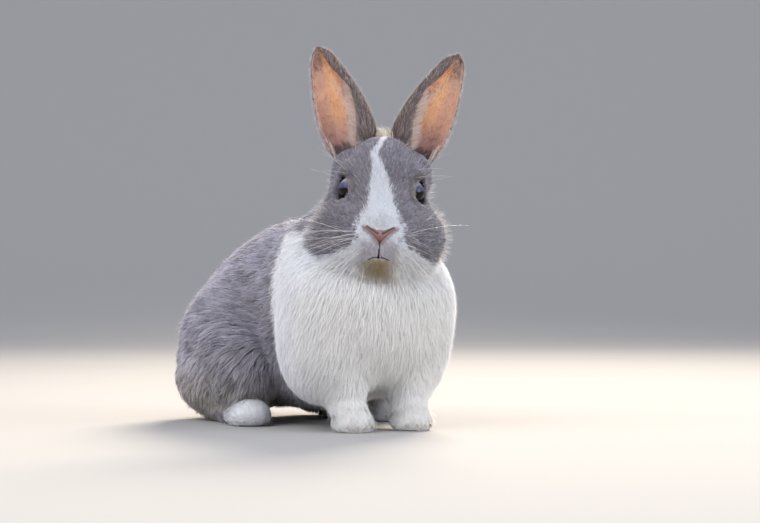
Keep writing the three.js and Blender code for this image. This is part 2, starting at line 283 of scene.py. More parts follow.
def fore_limb(side):
    elbow, wrist, paw = (on(side, p) for p in (ELBOW, WRIST, PAW))
    leg = blend(7, bone(elbow, wrist, 17, 12.5), bone(wrist, paw, 12.5, 9.5), ball(paw, [12.5, 13, 9.5]))
    return blend(3, leg, *toes(FORE_TIPS[side], 5, 10))


def hind_foot(side):
    heel, front = on(side, HEEL), on(side, TOES)
    foot = blend(7, bone(heel, front, 12, 11.5), ball(front, [14, 17, 10.5]))
    return blend(3, foot, *toes(HIND_TIPS[side], 5.4, 14))


tail = blend(8, ball([0, 141, 36], [15, 15, 15]), ball([0, 148, 55], [19, 14, 21]))

face = blend(
    20,
    ball([0, 10, 5.5], [28.5, 34, 32.5]),
    bone([0, -12, 5], [0, -34, -19], 15.5, 10.5),
    ball([0, -18, -29], [20, 22, 18]),
    *[bone([14 * side, 8, -9], [22 * side, -2, -29.5], 14, 23.3) for _, side in BOTH],
    ball([0, -6, -40], [32, 26, 13.5]),
)
skull = blend(
    9,
    face,
    *[
        form
        for _, side in BOTH
        for form in (
            ball([18.5 * side, -4, 11], [10, 11, 7]),
            ball([23 * side, 17, 13], [10.5, 12, 14]),
            ball([8.5 * side, -35, -34], [10, 10.5, 9.5]),
        )
    ],
    ball([0, -27, -44], [11, 11, 9]),
)
fore = [fore_limb(side) for _, side in BOTH]
hind = [hind_foot(side) for _, side in BOTH]


# ---------- the ears, each in its own frame: along it, outwards across it, and to its front ----------
EAR_AXIS = rotation(1, EAR_LEAN) @ rotation(0, -EAR_BACK) @ np.array([0, 0, 1])
EAR_FRONT = unit(np.array([0, -1, 0]) + EAR_AXIS[1] * EAR_AXIS)
EAR_OUT = np.cross(EAR_AXIS, EAR_FRONT)


def ear_half(s):
    tip = (1 - s) * EAR_LENGTH
    blade = 0.3 * (1 - np.exp(-tip / 2.2)) + 0.7 * np.sin(math.pi / 2 * np.minimum(1, tip / 62))
    return np.maximum(1.6, EAR_HALF * blade * mix(0.78, 1, ramp(s, 0, 0.35)))


def ear_roll(s):
    """How far the inner edge rolls over: a notch at the root, widest open at the waist."""
    low = mix(EAR_ROLL["waist"], EAR_ROLL["root"], (1 - np.minimum(s / 0.62, 1)) ** 1.3)
    return mix(low, EAR_ROLL["tip"], ramp(s, 0.62, 0.9))


def ear_section(q, side):
    """Head-frame points seen from an ear: the share of its length, then outwards and to the front of it."""
    r = q * [side, 1, 1] - EAR_ROOT
    return r @ EAR_AXIS / EAR_LENGTH, r @ EAR_OUT, r @ EAR_FRONT


def ear_shape(inside):
    """An ear's half width, depth, wall and the angle that its edge is rolled to, at a share of its length."""
    half = ear_half(inside)
    return half, half * mix(*EAR_DEPTH, inside), mix(*EAR_WALL, inside), -math.pi - ear_roll(inside)


def ear_wall(q, side, wall):
    """The distance to an ear of that wall thickness, drawn along the middle of the solid's wall."""
    s, x, y = ear_section(q, side)
    half, deep, solid_wall, end = ear_shape(np.clip(s, 0, 1))
    half = np.maximum(half - solid_wall / 2, 0.8)
    deep = np.maximum(deep - solid_wall / 2, 0.6)
    angle = np.arctan2(y / deep, x / half)
    angle = np.where(angle > EAR_RIM, angle - 2 * math.pi, angle)
    angle = np.clip(angle, end, EAR_RIM)
    nx, ny = half * np.cos(angle), deep * np.sin(angle)
    for _ in range(2):  # nearest point of the oval, by two steps along it
        tx, ty = -half * np.sin(angle), deep * np.cos(angle)
        angle = np.clip(angle + ((x - nx) * tx + (y - ny) * ty) / (tx * tx + ty * ty + 20), end, EAR_RIM)
        nx, ny = half * np.cos(angle), deep * np.sin(angle)
    beyond = np.maximum(np.maximum(-s, s - 1 + (EAR_WALL[1] - wall) / EAR_LENGTH), 0) * EAR_LENGTH
    return np.sqrt((x - nx) ** 2 + (y - ny) ** 2 + beyond**2) - wall / 2


# ---------- the skin's depth under the tips of the coat ----------
def nearest_forms(p):
    """The distance to each group of forms at body-frame points."""
    q = in_head(p)
    return {
        "local": q,
        "head": skull(q),
        "body": body(p),
        "fore": np.minimum(fore[0](p), fore[1](p)),
        "hind": np.minimum(hind[0](p), hind[1](p)),
        "tail": tail(p),
    }


def shares(d):
    """How much of each group a point belongs to, adding up to 1."""
    each = [d[name] for name in GROUPS]
    close = np.exp(-np.stack(each) / GROUP_BLEND + np.min(each, 0) / GROUP_BLEND)
    close /= close.sum(0)
    return dict(zip(GROUPS, close))


def blended(w, **each):
    """A measure that differs between the groups of forms, mixed by their shares."""
    return sum(w[name] * value for name, value in each.items())


def coat_depth(p, d=None, w=None):
    d = d or nearest_forms(p)
    w = w or shares(d)
    _, y, z = d["local"].T
    _, back, high = p.T
    on_head = mix(1.0, 2.0, ramp(y, -38, -12))  # thin on the muzzle
    on_head = mix(on_head, 3.6, ramp(y, -8, 14) * ramp(-z, -6, 18))  # full on the cheeks
    on_body = mix(7.0, 8.0, ramp(-back, 30, 70))
    on_fore = mix(1.0, 4.0, ramp(high, 10, 40))
    on_hind = mix(1.1, 2.0, ramp(back, 10, 60))
    return blended(w, head=on_head, body=on_body, fore=on_fore, hind=on_hind, tail=5.0)


def outline(d):
    """The field of the whole animal but the ears, out to the tips of the coat."""
    whole = d["body"]
    for name, width in JOINS.items():
        whole = join(width, whole, d[name])
    return whole


def face_folds(q):
    """How much deeper the skin lies in the philtrum and the mouth."""
    x, y, z = q.T
    front = ramp(-y, 30, 38)
    philtrum = np.exp(-((x / 0.8) ** 2)) * ramp(z, MOUTH_Z - 1, MOUTH_Z + 1) * ramp(-z, 28, 32)
    line = MOUTH_Z + 1 - MOUTH_ARCH * x**2
    thick = 0.8 + 0.7 * np.exp(-((x / 1.5) ** 2))
    mouth = np.exp(-(((z - line) / thick) ** 2)) * ramp(-np.abs(x), -MOUTH_HALF, -MOUTH_HALF + 3)
    return front * (1.3 * philtrum + 2.0 * mouth)


EYES = {side: np.array([EYE_X * side, EYE_Y, 0]) for _, side in BOTH}
GAZE = {side: unit(np.array([math.cos(LID_TURN) * side, -math.sin(LID_TURN), 0.06])) for _, side in BOTH}
LID_ACROSS = {side: unit(np.cross(GAZE[side], [0, 0, 1])) for _, side in BOTH}
LID_UPRIGHT = {side: np.cross(LID_ACROSS[side], GAZE[side]) for _, side in BOTH}


def lid_place(q, side):
    """Head-frame points seen from an eye: across, upright, along its gaze, and out to the lids' rim (1)."""
    away = q - EYES[side]
    across, upright = LID_ACROSS[side], LID_UPRIGHT[side]
    u, v = away @ across, away @ upright
    return u, v, away @ GAZE[side], np.hypot(u / LID_HALF[0], v / LID_HALF[1])


def skin_field(p, ear_thickness=EAR_SKIN):
    """The field of the skin, with its lids around the eyes and the ears' thin skin."""
    d = nearest_forms(p)
    q = d["local"]
    skin = outline(d) + coat_depth(p, d) + face_folds(q)
    skin = np.maximum(skin, 0.6 - p[:, 2])
    for _, side in BOTH:
        u, v, along, rim = lid_place(q, side)
        reach = np.sqrt(u * u + v * v + along * along)
        skin = join(LID_JOIN, skin, reach - EYE_RADIUS - LID_THICKNESS)
        opening = np.maximum((rim - 1) * LID_HALF[0], np.maximum(-along, reach - LID_REACH))
        skin = carve(LID_EDGE, skin, opening)
        close = q[:, 2] > -12
        ear = np.full(len(q), FAR, F32)
        ear[close] = ear_wall(q[close], side, ear_thickness)
        skin = join(EAR_JOIN, skin, ear)
    return skin


def in_chunks(field, p, size=300000):
    return np.concatenate([field(p[i : i + size]).astype(F32) for i in range(0, len(p), size)])


def slope_of(field, p, step=0.25):
    axes = np.eye(3) * step
    return np.stack([(in_chunks(field, p + a) - in_chunks(field, p - a)) / (2 * step) for a in axes], 1)


def settle(field, p, rounds=2, limit=1.0):
    for _ in range(rounds):
        slope = slope_of(field, p)
        move = -in_chunks(field, p) / np.maximum((slope * slope).sum(1), 0.2)
        p = p + slope * np.clip(move, -limit, limit)[:, None]
    return p


# ---------- wrapping a field: one vertex in each cell that the surface crosses ----------
def grid_axes(low, count, cell, step=1):
    return [low[axis] + np.arange(0, count[axis], step) * cell for axis in range(3)]


def spread_out(rough, coarse, count, filler):
    """A coarse grid's values over the fine grid."""
    fine = rough.repeat(coarse, 0).repeat(coarse, 1).repeat(coarse, 2)[: count[0], : count[1], : count[2]]
    return np.pad(fine, [(0, count[axis] - fine.shape[axis]) for axis in range(3)], constant_values=filler)


def crossings(value, axis):
    """Where a grid changes sign along an axis: the places, the four cells around each, and which way."""
    a = np.moveaxis(value, axis, 0)[:-1]
    b = np.moveaxis(value, axis, 0)[1:]
    at = np.argwhere((a < 0) != (b < 0))
    va, vb = a[tuple(at.T)], b[tuple(at.T)]
    corner = np.empty_like(at)
    corner[:, [axis, *[n for n in range(3) if n != axis]]] = at
    place = corner.astype(float)
    place[:, axis] += va / (va - vb)
    u, v = (axis + 1) % 3, (axis + 2) % 3
    around = []
    for su, sv in ((1, 1), (0, 1), (0, 0), (1, 0)):
        cell = corner.copy()
        cell[:, u] -= su
        cell[:, v] -= sv
        around.append(np.ravel_multi_index(cell.T, value.shape))
    return place, around, va < 0


def wrap(field, low, high, cell, band=9):
    """Vertices and outward quads of the surface where the field is 0, worked out only near it."""
    low = np.array(low, float)
    coarse = 4
    count = (np.ceil((np.array(high) - low) / (cell * coarse)).astype(int) + 1) * coarse + 1
    axes = grid_axes(low, count, cell, coarse)
    rough = np.stack(np.meshgrid(*axes, indexing="ij"), -1)
    near = in_chunks(field, rough.reshape(-1, 3)).reshape(rough.shape[:3])
    value = spread_out(near, coarse, count, FAR)
    busy = np.abs(near) < band
    grown = busy.copy()
    for axis in range(3):
        for way in (1, -1):
            grown |= np.roll(busy, way, axis)
    where = np.argwhere(spread_out(grown, coarse, count, False))
    value[tuple(where.T)] = in_chunks(field, low + where * cell)
    value[value == 0] = 1e-5  # never 0, so that every edge either crosses the surface or doesn't

    found = [crossings(value, axis) for axis in range(3)]
    cells = np.concatenate([cell for _, around, _ in found for cell in around])
    places = np.concatenate([place for place, _, _ in found for _ in range(4)])
    ids, back = np.unique(cells, return_inverse=True)
    total = np.bincount(back, minlength=len(ids))
    vertices = np.stack([np.bincount(back, places[:, axis], len(ids)) / total for axis in range(3)], 1)
    quads = []
    for _, around, inside in found:
        quad = np.searchsorted(ids, np.stack(around, 1))
        quads.append(np.where(inside[:, None], quad, quad[:, ::-1]))
    return low + vertices * cell, np.concatenate(quads)


def relax(vertices, quads, field, rounds=2, strength=0.5):
    for _ in range(rounds):
        total = np.zeros_like(vertices)
        times = np.zeros(len(vertices))
        for i in range(4):
            np.add.at(total, quads[:, i], vertices[quads[:, (i + 1) % 4]])
            np.add.at(times, quads[:, i], 1)
        vertices = mix(vertices, total / times[:, None], strength)
        vertices = settle(field, vertices, 1)
    return vertices


def in_scene(name, data):
    made = bpy.data.objects.new(name, data)
    bpy.context.scene.collection.objects.link(made)
    return made


def raw_object(name, vertices, corners, sizes):
    """A smooth mesh in the scene, from the corners of its faces in turn and how many each face has."""
    mesh = bpy.data.meshes.new(name)
    mesh.vertices.add(len(vertices))
    mesh.vertices.foreach_set("co", np.ascontiguousarray(vertices, F32).ravel())
    mesh.loops.add(len(corners))
    mesh.loops.foreach_set("vertex_index", corners.astype(np.int32))
    mesh.polygons.add(len(sizes))
    mesh.polygons.foreach_set("loop_start", (np.cumsum(sizes) - sizes).astype(np.int32))
    mesh.polygons.foreach_set("use_smooth", np.ones(len(sizes), bool))
    mesh.update(calc_edges=True)
    return in_scene(name, mesh)


def mesh_object(name, vertices, quads, others=()):
    """A smooth mesh of quads, with other faces given as tuples of vertices."""
    corners = np.concatenate([quads.ravel(), *[np.array(face) for face in others]])
    made = raw_object(name, vertices, corners, np.array([4] * len(quads) + [len(face) for face in others]))
    made.data.validate()
    return made


def finish_piece(piece, slot, *nodes):
    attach(piece, "root")
    if nodes:
        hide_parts(*nodes)


# ---------- the nose ----------
def laid(x, z, level):
    """A head-frame point of the muzzle at that level over the skin."""
    y = NOSE_Y
    for _ in range(12):
        at = out_of_head(np.array([[x, y, z]]))
        d = nearest_forms(at)
        y -= (level - (outline(d) + coat_depth(at, d))[0]) * 0.7
    return np.array([x, y, z])


def slit(side):
    return bone(laid(1.8 * side, NOSE_Z - 2.4, 1.7), laid(9.3 * side, NOSE_Z + 2.4, 0.9), 0.72, 0.5)


nostrils = [slit(side) for _, side in BOTH]
nose_pad = blend(
    2.4,
    *[
        bone(laid(1.4 * side, NOSE_Z - 3.5, -0.2), laid(8.8 * side, NOSE_Z + 1.1, -0.3), 2.1, 1.1)
        for _, side in BOTH
    ],
    bone(laid(0, NOSE_Z - 3.6, -0.3), laid(0, NOSE_Z - 6.2, -0.3), 2.2, 1.1),
)


# ---------- the markings ----------
def blaze(z):
    """The white stripe of the face at a height of the head's frame: its middle and its half width."""
    heights = (-46, -33, -26, -21, -10, 5, 14, 23, 30, 38)
    middle = (0, 0, 0, 0, 0, -1.3, -3.6, -6.0, -2.2, 2.7)
    half = (20, 15, 15.6, 13.6, 9.0, 5.8, 3.6, 2.2, 2.0, 1.6)
    return np.interp(z, heights, middle), np.interp(z, heights, half)


def waves(p, scale, seed):
    """Smooth noise of about that wavelength, from about -1 to 1: seven waves in random ways."""
    draw = np.random.default_rng(seed)
    total = np.zeros(len(p))
    for _ in range(7):
        way = unit(draw.normal(size=3)) * 2 * math.pi / scale * draw.uniform(0.6, 1.6)
        total += np.sin(p @ way + draw.uniform(0, 2 * math.pi))
    return total / 3.2


def whiteness(p, d, w, stirred=0):
    """1 on the white of the coat, 0 on the grey, at body-frame points, the borders stirred by so many mm."""
    x, y, z = d["local"].T
    _, back, high = p.T
    middle, half = blaze(z)
    ragged = 0.9 * waves(p, 7, 3) + 0.6 * waves(p, 3, 4) + stirred
    in_blaze = half - np.abs(x - middle) + ragged * np.clip(half / 8, 0.5, 1.2)
    in_blaze = np.minimum(in_blaze, 14 - y)  # it ends between the ears
    jaw = np.interp(np.abs(x), (0, 15, 20, 31, 40, 47), (-30, -33, -39, -44, -46, -44))
    on_head = np.maximum(in_blaze, jaw - z + ragged)
    edge = SADDLE_EDGE - 36 * ramp(high, 134, 147) - 3 * waves(p, 60, 5) - 2.5 * ragged
    on_foot = 34 - back + 2 * ragged  # white toes
    on_tail = 46 - high + 0.8 * (back - 145) + ragged
    past = mix(0.5, 9, ramp(z, -26, -16))  # the cheeks' grey runs on over the neck, but not low down
    face = ramp(d["body"] - d["head"] + past, -1, 1)
    near = mix(np.clip(edge - back, -4, 4), np.clip(on_head, -4, 4), face)
    white = (w["head"] + w["body"] + w["fore"]) * ramp(near, -0.8, 0.8)
    return np.clip(white + w["hind"] * ramp(on_foot, -1, 1) + w["tail"] * ramp(on_tail, -1, 1), 0, 1)


def linear(*srgb):
    c = np.array(srgb, float)
    return np.where(c <= 0.04045, c / 12.92, ((c + 0.055) / 1.055) ** 2.4)


GREY = linear(0.61, 0.595, 0.64)
GREY_FACE = linear(0.535, 0.515, 0.55)
GREY_TAN = linear(0.72, 0.69, 0.645)
GREY_EAR = linear(0.40, 0.34, 0.33)
FROSTED = linear(0.84, 0.83, 0.85)  # the pale tips among the grey
GUARD = linear(0.90, 0.85, 0.77)  # the long hairs that stand clear of the coat
WHITE = linear(0.95, 0.95, 0.955)
# a darker, creamier white: painted shade low on the front of the chest
WHITE_CREAM_SHADE = linear(0.90, 0.88, 0.83)
# the head's white is a darker copy of the body's: painted shade
WHITE_FACE_SHADED = linear(0.87, 0.875, 0.89)
CHIN = linear(0.63, 0.54, 0.34)
# a lavender grey: painted shade on the white of the lower muzzle
MUZZLE_COAT_SHADE = linear(0.72, 0.69, 0.72)
PINK = linear(0.53, 0.38, 0.365)
NOSE_WING = linear(0.48, 0.38, 0.35)
# dark lip skin, and the painted shade in the grooves of the mouth, the philtrum and the nostrils
LIP_AND_GROOVE_SHADE = linear(0.36, 0.22, 0.21)
LID = linear(0.13, 0.10, 0.10)
EYE_RIM = linear(0.74, 0.71, 0.70)
EAR_PINK = linear(0.81, 0.63, 0.59)
# painted light: the orange glow of light shining through the thin ear
EAR_ORANGE_GLOW = linear(0.92, 0.71, 0.54)
EAR_BROWN = linear(0.60, 0.50, 0.45)
# pale hair tips, and painted light along the ears' outer rims
EAR_PALE_TIPS_AND_RIM_LIGHT = linear(0.90, 0.84, 0.81)
EAR_SOFT = linear(0.80, 0.72, 0.68)  # the fine hair over the ear's opening
EAR_DOWN = linear(0.56, 0.49, 0.49)  # the hair that closes the ear's opening low down


def shade_grey(p, q, w):
    """The grey of the coat at points given in the body's frame and in the head's."""
    x, y, z = q.T
    _, back, high = p.T
    grey = tint(GREY, GREY_FACE, w["head"])
    low_haunch = ramp(-high, -62, -18) * ramp(back, -20, 30) * w["body"]
    grey = tint(grey, GREY_TAN, 0.85 * low_haunch)
    # painted light: the grey is made paler on the top of the back and on the rump, where a light from behind
    # catches the coat
    above = ramp(high, 80, 125) * ramp(back, -30, 0)
    rump_light = ramp(back, 20, 80) * ramp(high, 5, 50)
    grey = grey * (1 + np.maximum(0.35 * above, 0.45 * rump_light) * w["body"])[:, None]
    streaks = ramp(waves(p * [1, 0.55, 0.8], 14, 6), 0.25, 0.95) * mix(0.3, 0.14, w["head"])
    jowl = ramp(np.abs(x), 18, 26) * ramp(-z, 2, 22) * w["head"]
    border = ramp(back, -28, -22) * ramp(-back, 2, 16) * ramp(high, 30, 60) * w["body"]
    streaks = streaks + 0.14 * jowl + 0.16 * border
    patches = mix(0.1, 0.05, w["head"]) * waves(p, 28, 8)
    grey = grey * (1 - streaks + 0.07 * waves(p, 6, 7) + patches)[:, None]
    for _, side in BOTH:
        _, v, along, rim = lid_place(q, side)
        medial = ramp(-y, 9, 14) * ramp(-rim, -1.75, -1.2) * (along > -4)
        grey = tint(grey, EYE_RIM, 0.65 * medial)
        brow = ramp(v, 5, 8) * ramp(-rim, -1.8, -1.25) * ramp(-y, 5, 10) * (along > -4)
        grey = tint(grey, LID, 0.6 * brow)
    return grey


def shade_pale(p, q, w):
    """The white of the coat, with its chin, lips and the edge of the nose."""
    x, y, z = q.T
    # painted shade: low on the front of the chest the white turns darker and creamier
    lower_chest_shade = ramp(-p[:, 1], 55, 90) * ramp(-p[:, 2], -125, -95) * 0.35
    # painted shade: the head's white is darker than the body's
    pale = tint(tint(WHITE, WHITE_FACE_SHADED, w["head"]), WHITE_CREAM_SHADE, lower_chest_shade)
    chin = ramp(-z, 45.2, 46.8) * ramp(-np.abs(x), -17, -2) * ramp(-y, 8, 22) * w["head"]
    pale = tint(pale, CHIN, 0.85 * chin)
    # painted shade: the lower muzzle beside the mouth is tinted lavender grey
    lips = ramp(-z, 31, 36) * ramp(-np.abs(x), -15, -9) * ramp(-y, 26, 34) * (1 - chin) * w["head"]
    pale = tint(pale, MUZZLE_COAT_SHADE, 0.6 * lips)
    wings = ramp(-nose_pad(q), -2.6, -0.3) * ramp(-z + NOSE_Z + 0.45 * np.abs(x), 1.5, 4)
    return tint(pale, PINK, 0.7 * wings)


def shade(p, d=None, w=None, stirred=0):
    """The coat's colour and its whiteness at body-frame points, the ears left out."""
    d = d or nearest_forms(p)
    w = w or shares(d)
    white = whiteness(p, d, w, stirred)
    return tint(shade_grey(p, d["local"], w), shade_pale(p, d["local"], w), white), white


# ---------- the skin ----------
FACE_SPOTS = [EYES[1], EYES[-1], np.array([0, NOSE_Y, NOSE_Z]), np.array([0, -42, MOUTH_Z])]


def face_detail(q):
    """How near a head-frame point is to an eye, the nose or the mouth, in mm."""
    return np.min([np.linalg.norm(q - spot, axis=1) for spot in FACE_SPOTS], 0)


def build_skin():
    low, high = LOW - 4, HIGH + 4
    low[2] = -3
    # the ears are wrapped thicker than the cells are wide, and then relaxed to their own thickness
    vertices, quads = wrap(lambda p: skin_field(p, 2.6), low, high, SKIN_CELL)
    vertices = relax(vertices, quads, skin_field, 2, 0.4)
    skin = mesh_object("skin", to_row(vertices), quads)
    bm = bmesh.new()
    bm.from_mesh(skin.data)
    for reach in (15, 11):  # finer in two steps around the eyes, the nose and the mouth
        where = in_head(from_row(np.array([v.co for v in bm.verts])))
        near = face_detail(where) < reach
        chosen = [e for e in bm.edges if near[e.verts[0].index] and near[e.verts[1].index]]
        bmesh.ops.subdivide_edges(bm, edges=chosen, cuts=1, use_grid_fill=True)
        bm.verts.index_update()
        bm.verts.ensure_lookup_table()
    bmesh.ops.triangulate(bm, faces=[f for f in bm.faces if len(f.verts) > 4])
    bm.to_mesh(skin.data)
    bm.free()
    p = from_row(positions(skin.data))
    close = face_detail(in_head(p)) < 18
    p[close] = settle(skin_field, p[close], 3, 0.4)
    skin.data.vertices.foreach_set("co", to_row(p).astype(F32).ravel())
    for polygon in skin.data.polygons:
        polygon.use_smooth = True
    skin.data.update()
    return skin


def positions(mesh):
    co = np.zeros(len(mesh.vertices) * 3, F32)
    mesh.vertices.foreach_get("co", co)
    return co.reshape(-1, 3).astype(float)


skin = build_skin()
finish_piece(skin, "coat_grey", *[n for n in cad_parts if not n.startswith(("eye_", "claw_", "nose"))])


# ---------- the coat ----------
class Sampled:
    """A field kept on a grid, so that many points can be read quickly with their slopes."""

    def __init__(self, field, low, high, cell):
        self.low, self.cell = np.array(low, float), cell
        count = np.ceil((np.array(high) - low) / cell).astype(int) + 1
        grid = np.stack(np.meshgrid(*grid_axes(self.low, count, cell), indexing="ij"), -1)
        value = in_chunks(field, grid.reshape(-1, 3)).reshape(count)
        self.data = np.stack([value, *np.gradient(value, cell)], -1)

    def read(self, p):
        """The field and its slope's direction at points."""
        at = np.clip((p - self.low) / self.cell, 0, np.array(self.data.shape[:3]) - 1.001)
        base = at.astype(int)
        share = at - base
        total = 0
        for corner in np.ndindex(2, 2, 2):
            weight = np.prod(np.where(corner, share, 1 - share), 1)
            total = total + weight[:, None] * self.data[tuple((base + corner).T)]
        return total[:, 0], unit(total[:, 1:])


def scatter(per_mm2):
    """Roots on the skin: places and normals, body frame. per_mm2 gives the density at places."""
    mesh = skin.data
    mesh.calc_loop_triangles()
    corners = np.zeros(len(mesh.loop_triangles) * 3, np.int32)
    mesh.loop_triangles.foreach_get("vertices", corners)
    p = from_row(positions(mesh))
    a, b, c = (p[corners.reshape(-1, 3)[:, i]] for i in range(3))
    cross = np.cross(b - a, c - a)
    area = np.linalg.norm(cross, axis=1) / 2
    wanted = area * per_mm2((a + b + c) / 3, unit(cross))
    count = rng.poisson(wanted)
    pick = np.repeat(np.arange(len(a)), count)
    u, v = rng.random((2, len(pick)))
    flip = u + v > 1
    u[flip], v[flip] = 1 - u[flip], 1 - v[flip]
    places = a[pick] + u[:, None] * (b - a)[pick] + v[:, None] * (c - a)[pick]
    return places, unit(cross)[pick]


def exactly(field):
    """Reads a field and its slope's direction without a grid."""
    return lambda p: (in_chunks(field, p), unit(slope_of(field, p)))


def ear_share(p, d):
    """1 on the ears' skin, 0 elsewhere."""
    to_eye = np.min([np.linalg.norm(d["local"] - EYES[side], axis=1) for _, side in BOTH], 0)
    return ramp(outline(d) + coat_depth(p, d), 0.7, 2.0) * ramp(to_eye, 14, 17)


def clear_of_eyes(p):
    """Moves points out of the lids' openings."""
    q = in_head(p)
    for _, side in BOTH:
        u, v, along, rim = lid_place(q, side)
        over = (rim < LID_CLEAR) & (along > 0) & (along < LID_REACH)
        grow = np.where(over, LID_CLEAR / np.maximum(rim, 0.3) - 1, 0)
        q = q + (grow * u)[:, None] * LID_ACROSS[side] + (grow * v)[:, None] * LID_UPRIGHT[side]
    return out_of_head(q)


def lie(p, d, w):
    """The way the hairs point at body-frame points, before they are laid along the skin."""
    across, back, high = p.T
    zero = np.zeros(len(p))
    on_face = unit(d["local"] - [0, NOSE_Y + 5, NOSE_Z - 3]) + np.array([0, 0.35, 0])
    on_face = on_face @ HEAD_AXES.T
    on_back = np.stack([zero, zero + 1, -0.35 - 1.1 * ramp(-high, -85, -35)], 1)
    chest = np.stack([0.35 * (across / 60), zero + 0.25, zero - 1], 1)
    on_body = tint(on_back, chest, ramp(-back, 15, 60))
    down = np.stack([zero, -1.2 * ramp(-high, -22, -10), zero - 1], 1)
    on_foot, up = np.array([0, -1, -0.25]), np.array([0, 0.3, 1])
    ways = {"head": on_face, "body": on_body, "fore": down, "hind": on_foot, "tail": up}
    return sum(w[name][:, None] * way for name, way in ways.items())


def round_eyes(way, q):
    """Turns the hairs that point into an eye along its lids."""
    for _, side in BOTH:
        u, v, along, rim = lid_place(q, side)
        to_eye = -unit(u[:, None] * LID_ACROSS[side] + v[:, None] * LID_UPRIGHT[side]) @ HEAD_AXES.T
        inwards = np.maximum((unit(way) * to_eye).sum(1), 0) * ramp(-rim, -2.3, -1.4) * (along > -6)
        way = unit(way) - to_eye * (1.15 * inwards)[:, None]
    return way


def along_skin(way, normal):
    return unit(way - (way * normal).sum(1, keepdims=True) * normal)


def turned(way, normal, angle):
    return way * np.cos(angle)[:, None] + np.cross(normal, way) * np.sin(angle)[:, None]


def comb(roots, normal, way, length, depth, reach, read):
    """Points of each tuft, laid over the body: shape (tufts, STEPS + 1, 3)."""
    start, _ = read(roots)
    p = roots
    points = [p]
    for step in range(1, STEPS + 1):
        p = p + way * (length / STEPS)[:, None]
        level, normal = read(p)
        wanted = start + depth * reach * RISE[step]
        p = p + normal * np.clip(wanted - level, -3, 3)[:, None]
        way = along_skin(p - points[-1], normal)
        points.append(p)
    return np.stack(points, 1)


def gather(points, roots, normal, spacing, pull):
    """Draws the tufts together in locks, more towards their tips."""
    centres = rng.permutation(len(roots))[: max(1, len(roots) // spacing)]
    tree = kdtree.KDTree(len(centres))
    keys = roots + normal * 4
    for i, centre in enumerate(centres):
        tree.insert(keys[centre], i)
    tree.balance()
    lock = np.array([tree.find(key)[1] for key in keys])
    strength = rng.uniform(0.5, 1.15, len(centres))[lock] * pull
    leader = points[centres[lock]]
    steps = (np.arange(STEPS + 1) / STEPS) ** 1.3
    share = strength[:, None] * steps
    points = points + (leader - points) * share[..., None]
    return points, lock


def unwrap(p, region):
    """Where a root lies on an unwrap of the skin's own shape, both from 0 to 1."""
    if region == "head":
        q = in_head(p) - [0, -5, -8]
        high = np.arcsin(np.clip(q[:, 2] / np.linalg.norm(q, axis=1), -1, 1)) / math.pi + 0.5
        return np.stack([np.arctan2(q[:, 0], -q[:, 1]) / (2 * math.pi) + 0.5, high], 1)
    if region.startswith("ear"):
        s, x, y = ear_section(in_head(p), 1 if region.endswith("left") else -1)
        return np.stack([np.arctan2(y, x) / (2 * math.pi) + 0.5, np.clip(s, 0, 1)], 1)
    turn = np.arctan2(p[:, 0], 70 - p[:, 2]) / (2 * math.pi) + 0.5
    return np.stack([turn, (p[:, 1] + 130) / 300], 1)


def coat_piece(name, region, roots, points, normal, width, root_colour, tip_colour):
    """One mesh of tufts, each a strip of two quads and a triangle."""
    count = len(points)
    across = unit(np.cross(points[:, 1] - points[:, 0], normal))
    roll = rng.normal(0, TUFT_ROLL, count)[:, None]
    across = across * np.cos(roll) + normal * np.sin(roll)
    half = (width[:, None] * TAPER / 2)[..., None]
    left = points[:, :STEPS] - across[:, None] * half
    right = points[:, :STEPS] + across[:, None] * half
    strip = np.concatenate([np.stack([left, right], 2).reshape(count, STEPS * 2, 3), points[:, STEPS:]], 1)
    low, high = np.array(CAD_BOX)
    vertices = np.clip(to_row(strip.reshape(-1, 3)), low + BOX_MARGIN, high - BOX_MARGIN)
    loops = np.arange(count)[:, None] * strip.shape[1] + STRIP
    made = raw_object(name, vertices, loops.ravel(), np.tile([4, 4, 3], count))
    colour = mix(root_colour[:, None], tip_colour[:, None], STRIP_FAR[:, None] ** 0.8)
    colour_attribute(made.data, colour.reshape(-1, 3))
    patch = np.stack([STRIP_SIDE * PATCH / 2, STRIP_FAR * PATCH], 1)
    places = unwrap(roots, region)[:, None] * MAP_SPAN + MAP_START + patch
    layer = made.data.uv_layers.new(name="OFBake")
    layer.data.foreach_set("uv", places[:, STRIP].astype(F32).ravel())
    made.data.materials.append(MATERIALS["coat"])
    return made


def colour_attribute(mesh, colour):
    full = np.concatenate([np.clip(colour, 0, 1), np.ones((len(colour), 1))], 1)
    mesh.color_attributes.new("coat", "FLOAT_COLOR", "POINT")
    mesh.color_attributes["coat"].data.foreach_set("color", full.astype(F32).ravel())


def picked(tufts, which):
    return {key: value[which] for key, value in tufts.items()}


def coat_pieces(region, white, **tufts):
    """Splits tufts by colour and by number, and makes their pieces."""
    for colour, chosen in (("grey", white < 0.5), ("white", white >= 0.5)):
        found = np.flatnonzero(chosen)
        found = found[np.argsort(tufts["roots"][found, 1])]
        for part, share in enumerate(np.array_split(found, max(1, -(-len(found) // PIECE_LIMIT)))):
            if len(share):
                piece = coat_piece(f"coat_{region}_{colour}_{part + 1}", region, **picked(tufts, share))
                finish_piece(piece, f"coat_{colour}")


def mouth_gap(q):
    """How far above the mouth's line a head-frame point of the muzzle lies, and whether it is near it."""
    x, y, z = q.T
    above = z - (MOUTH_Z + 1 - MOUTH_ARCH * x**2)
    return above, (y < -28) & (np.abs(x) < MOUTH_HALF + 1)


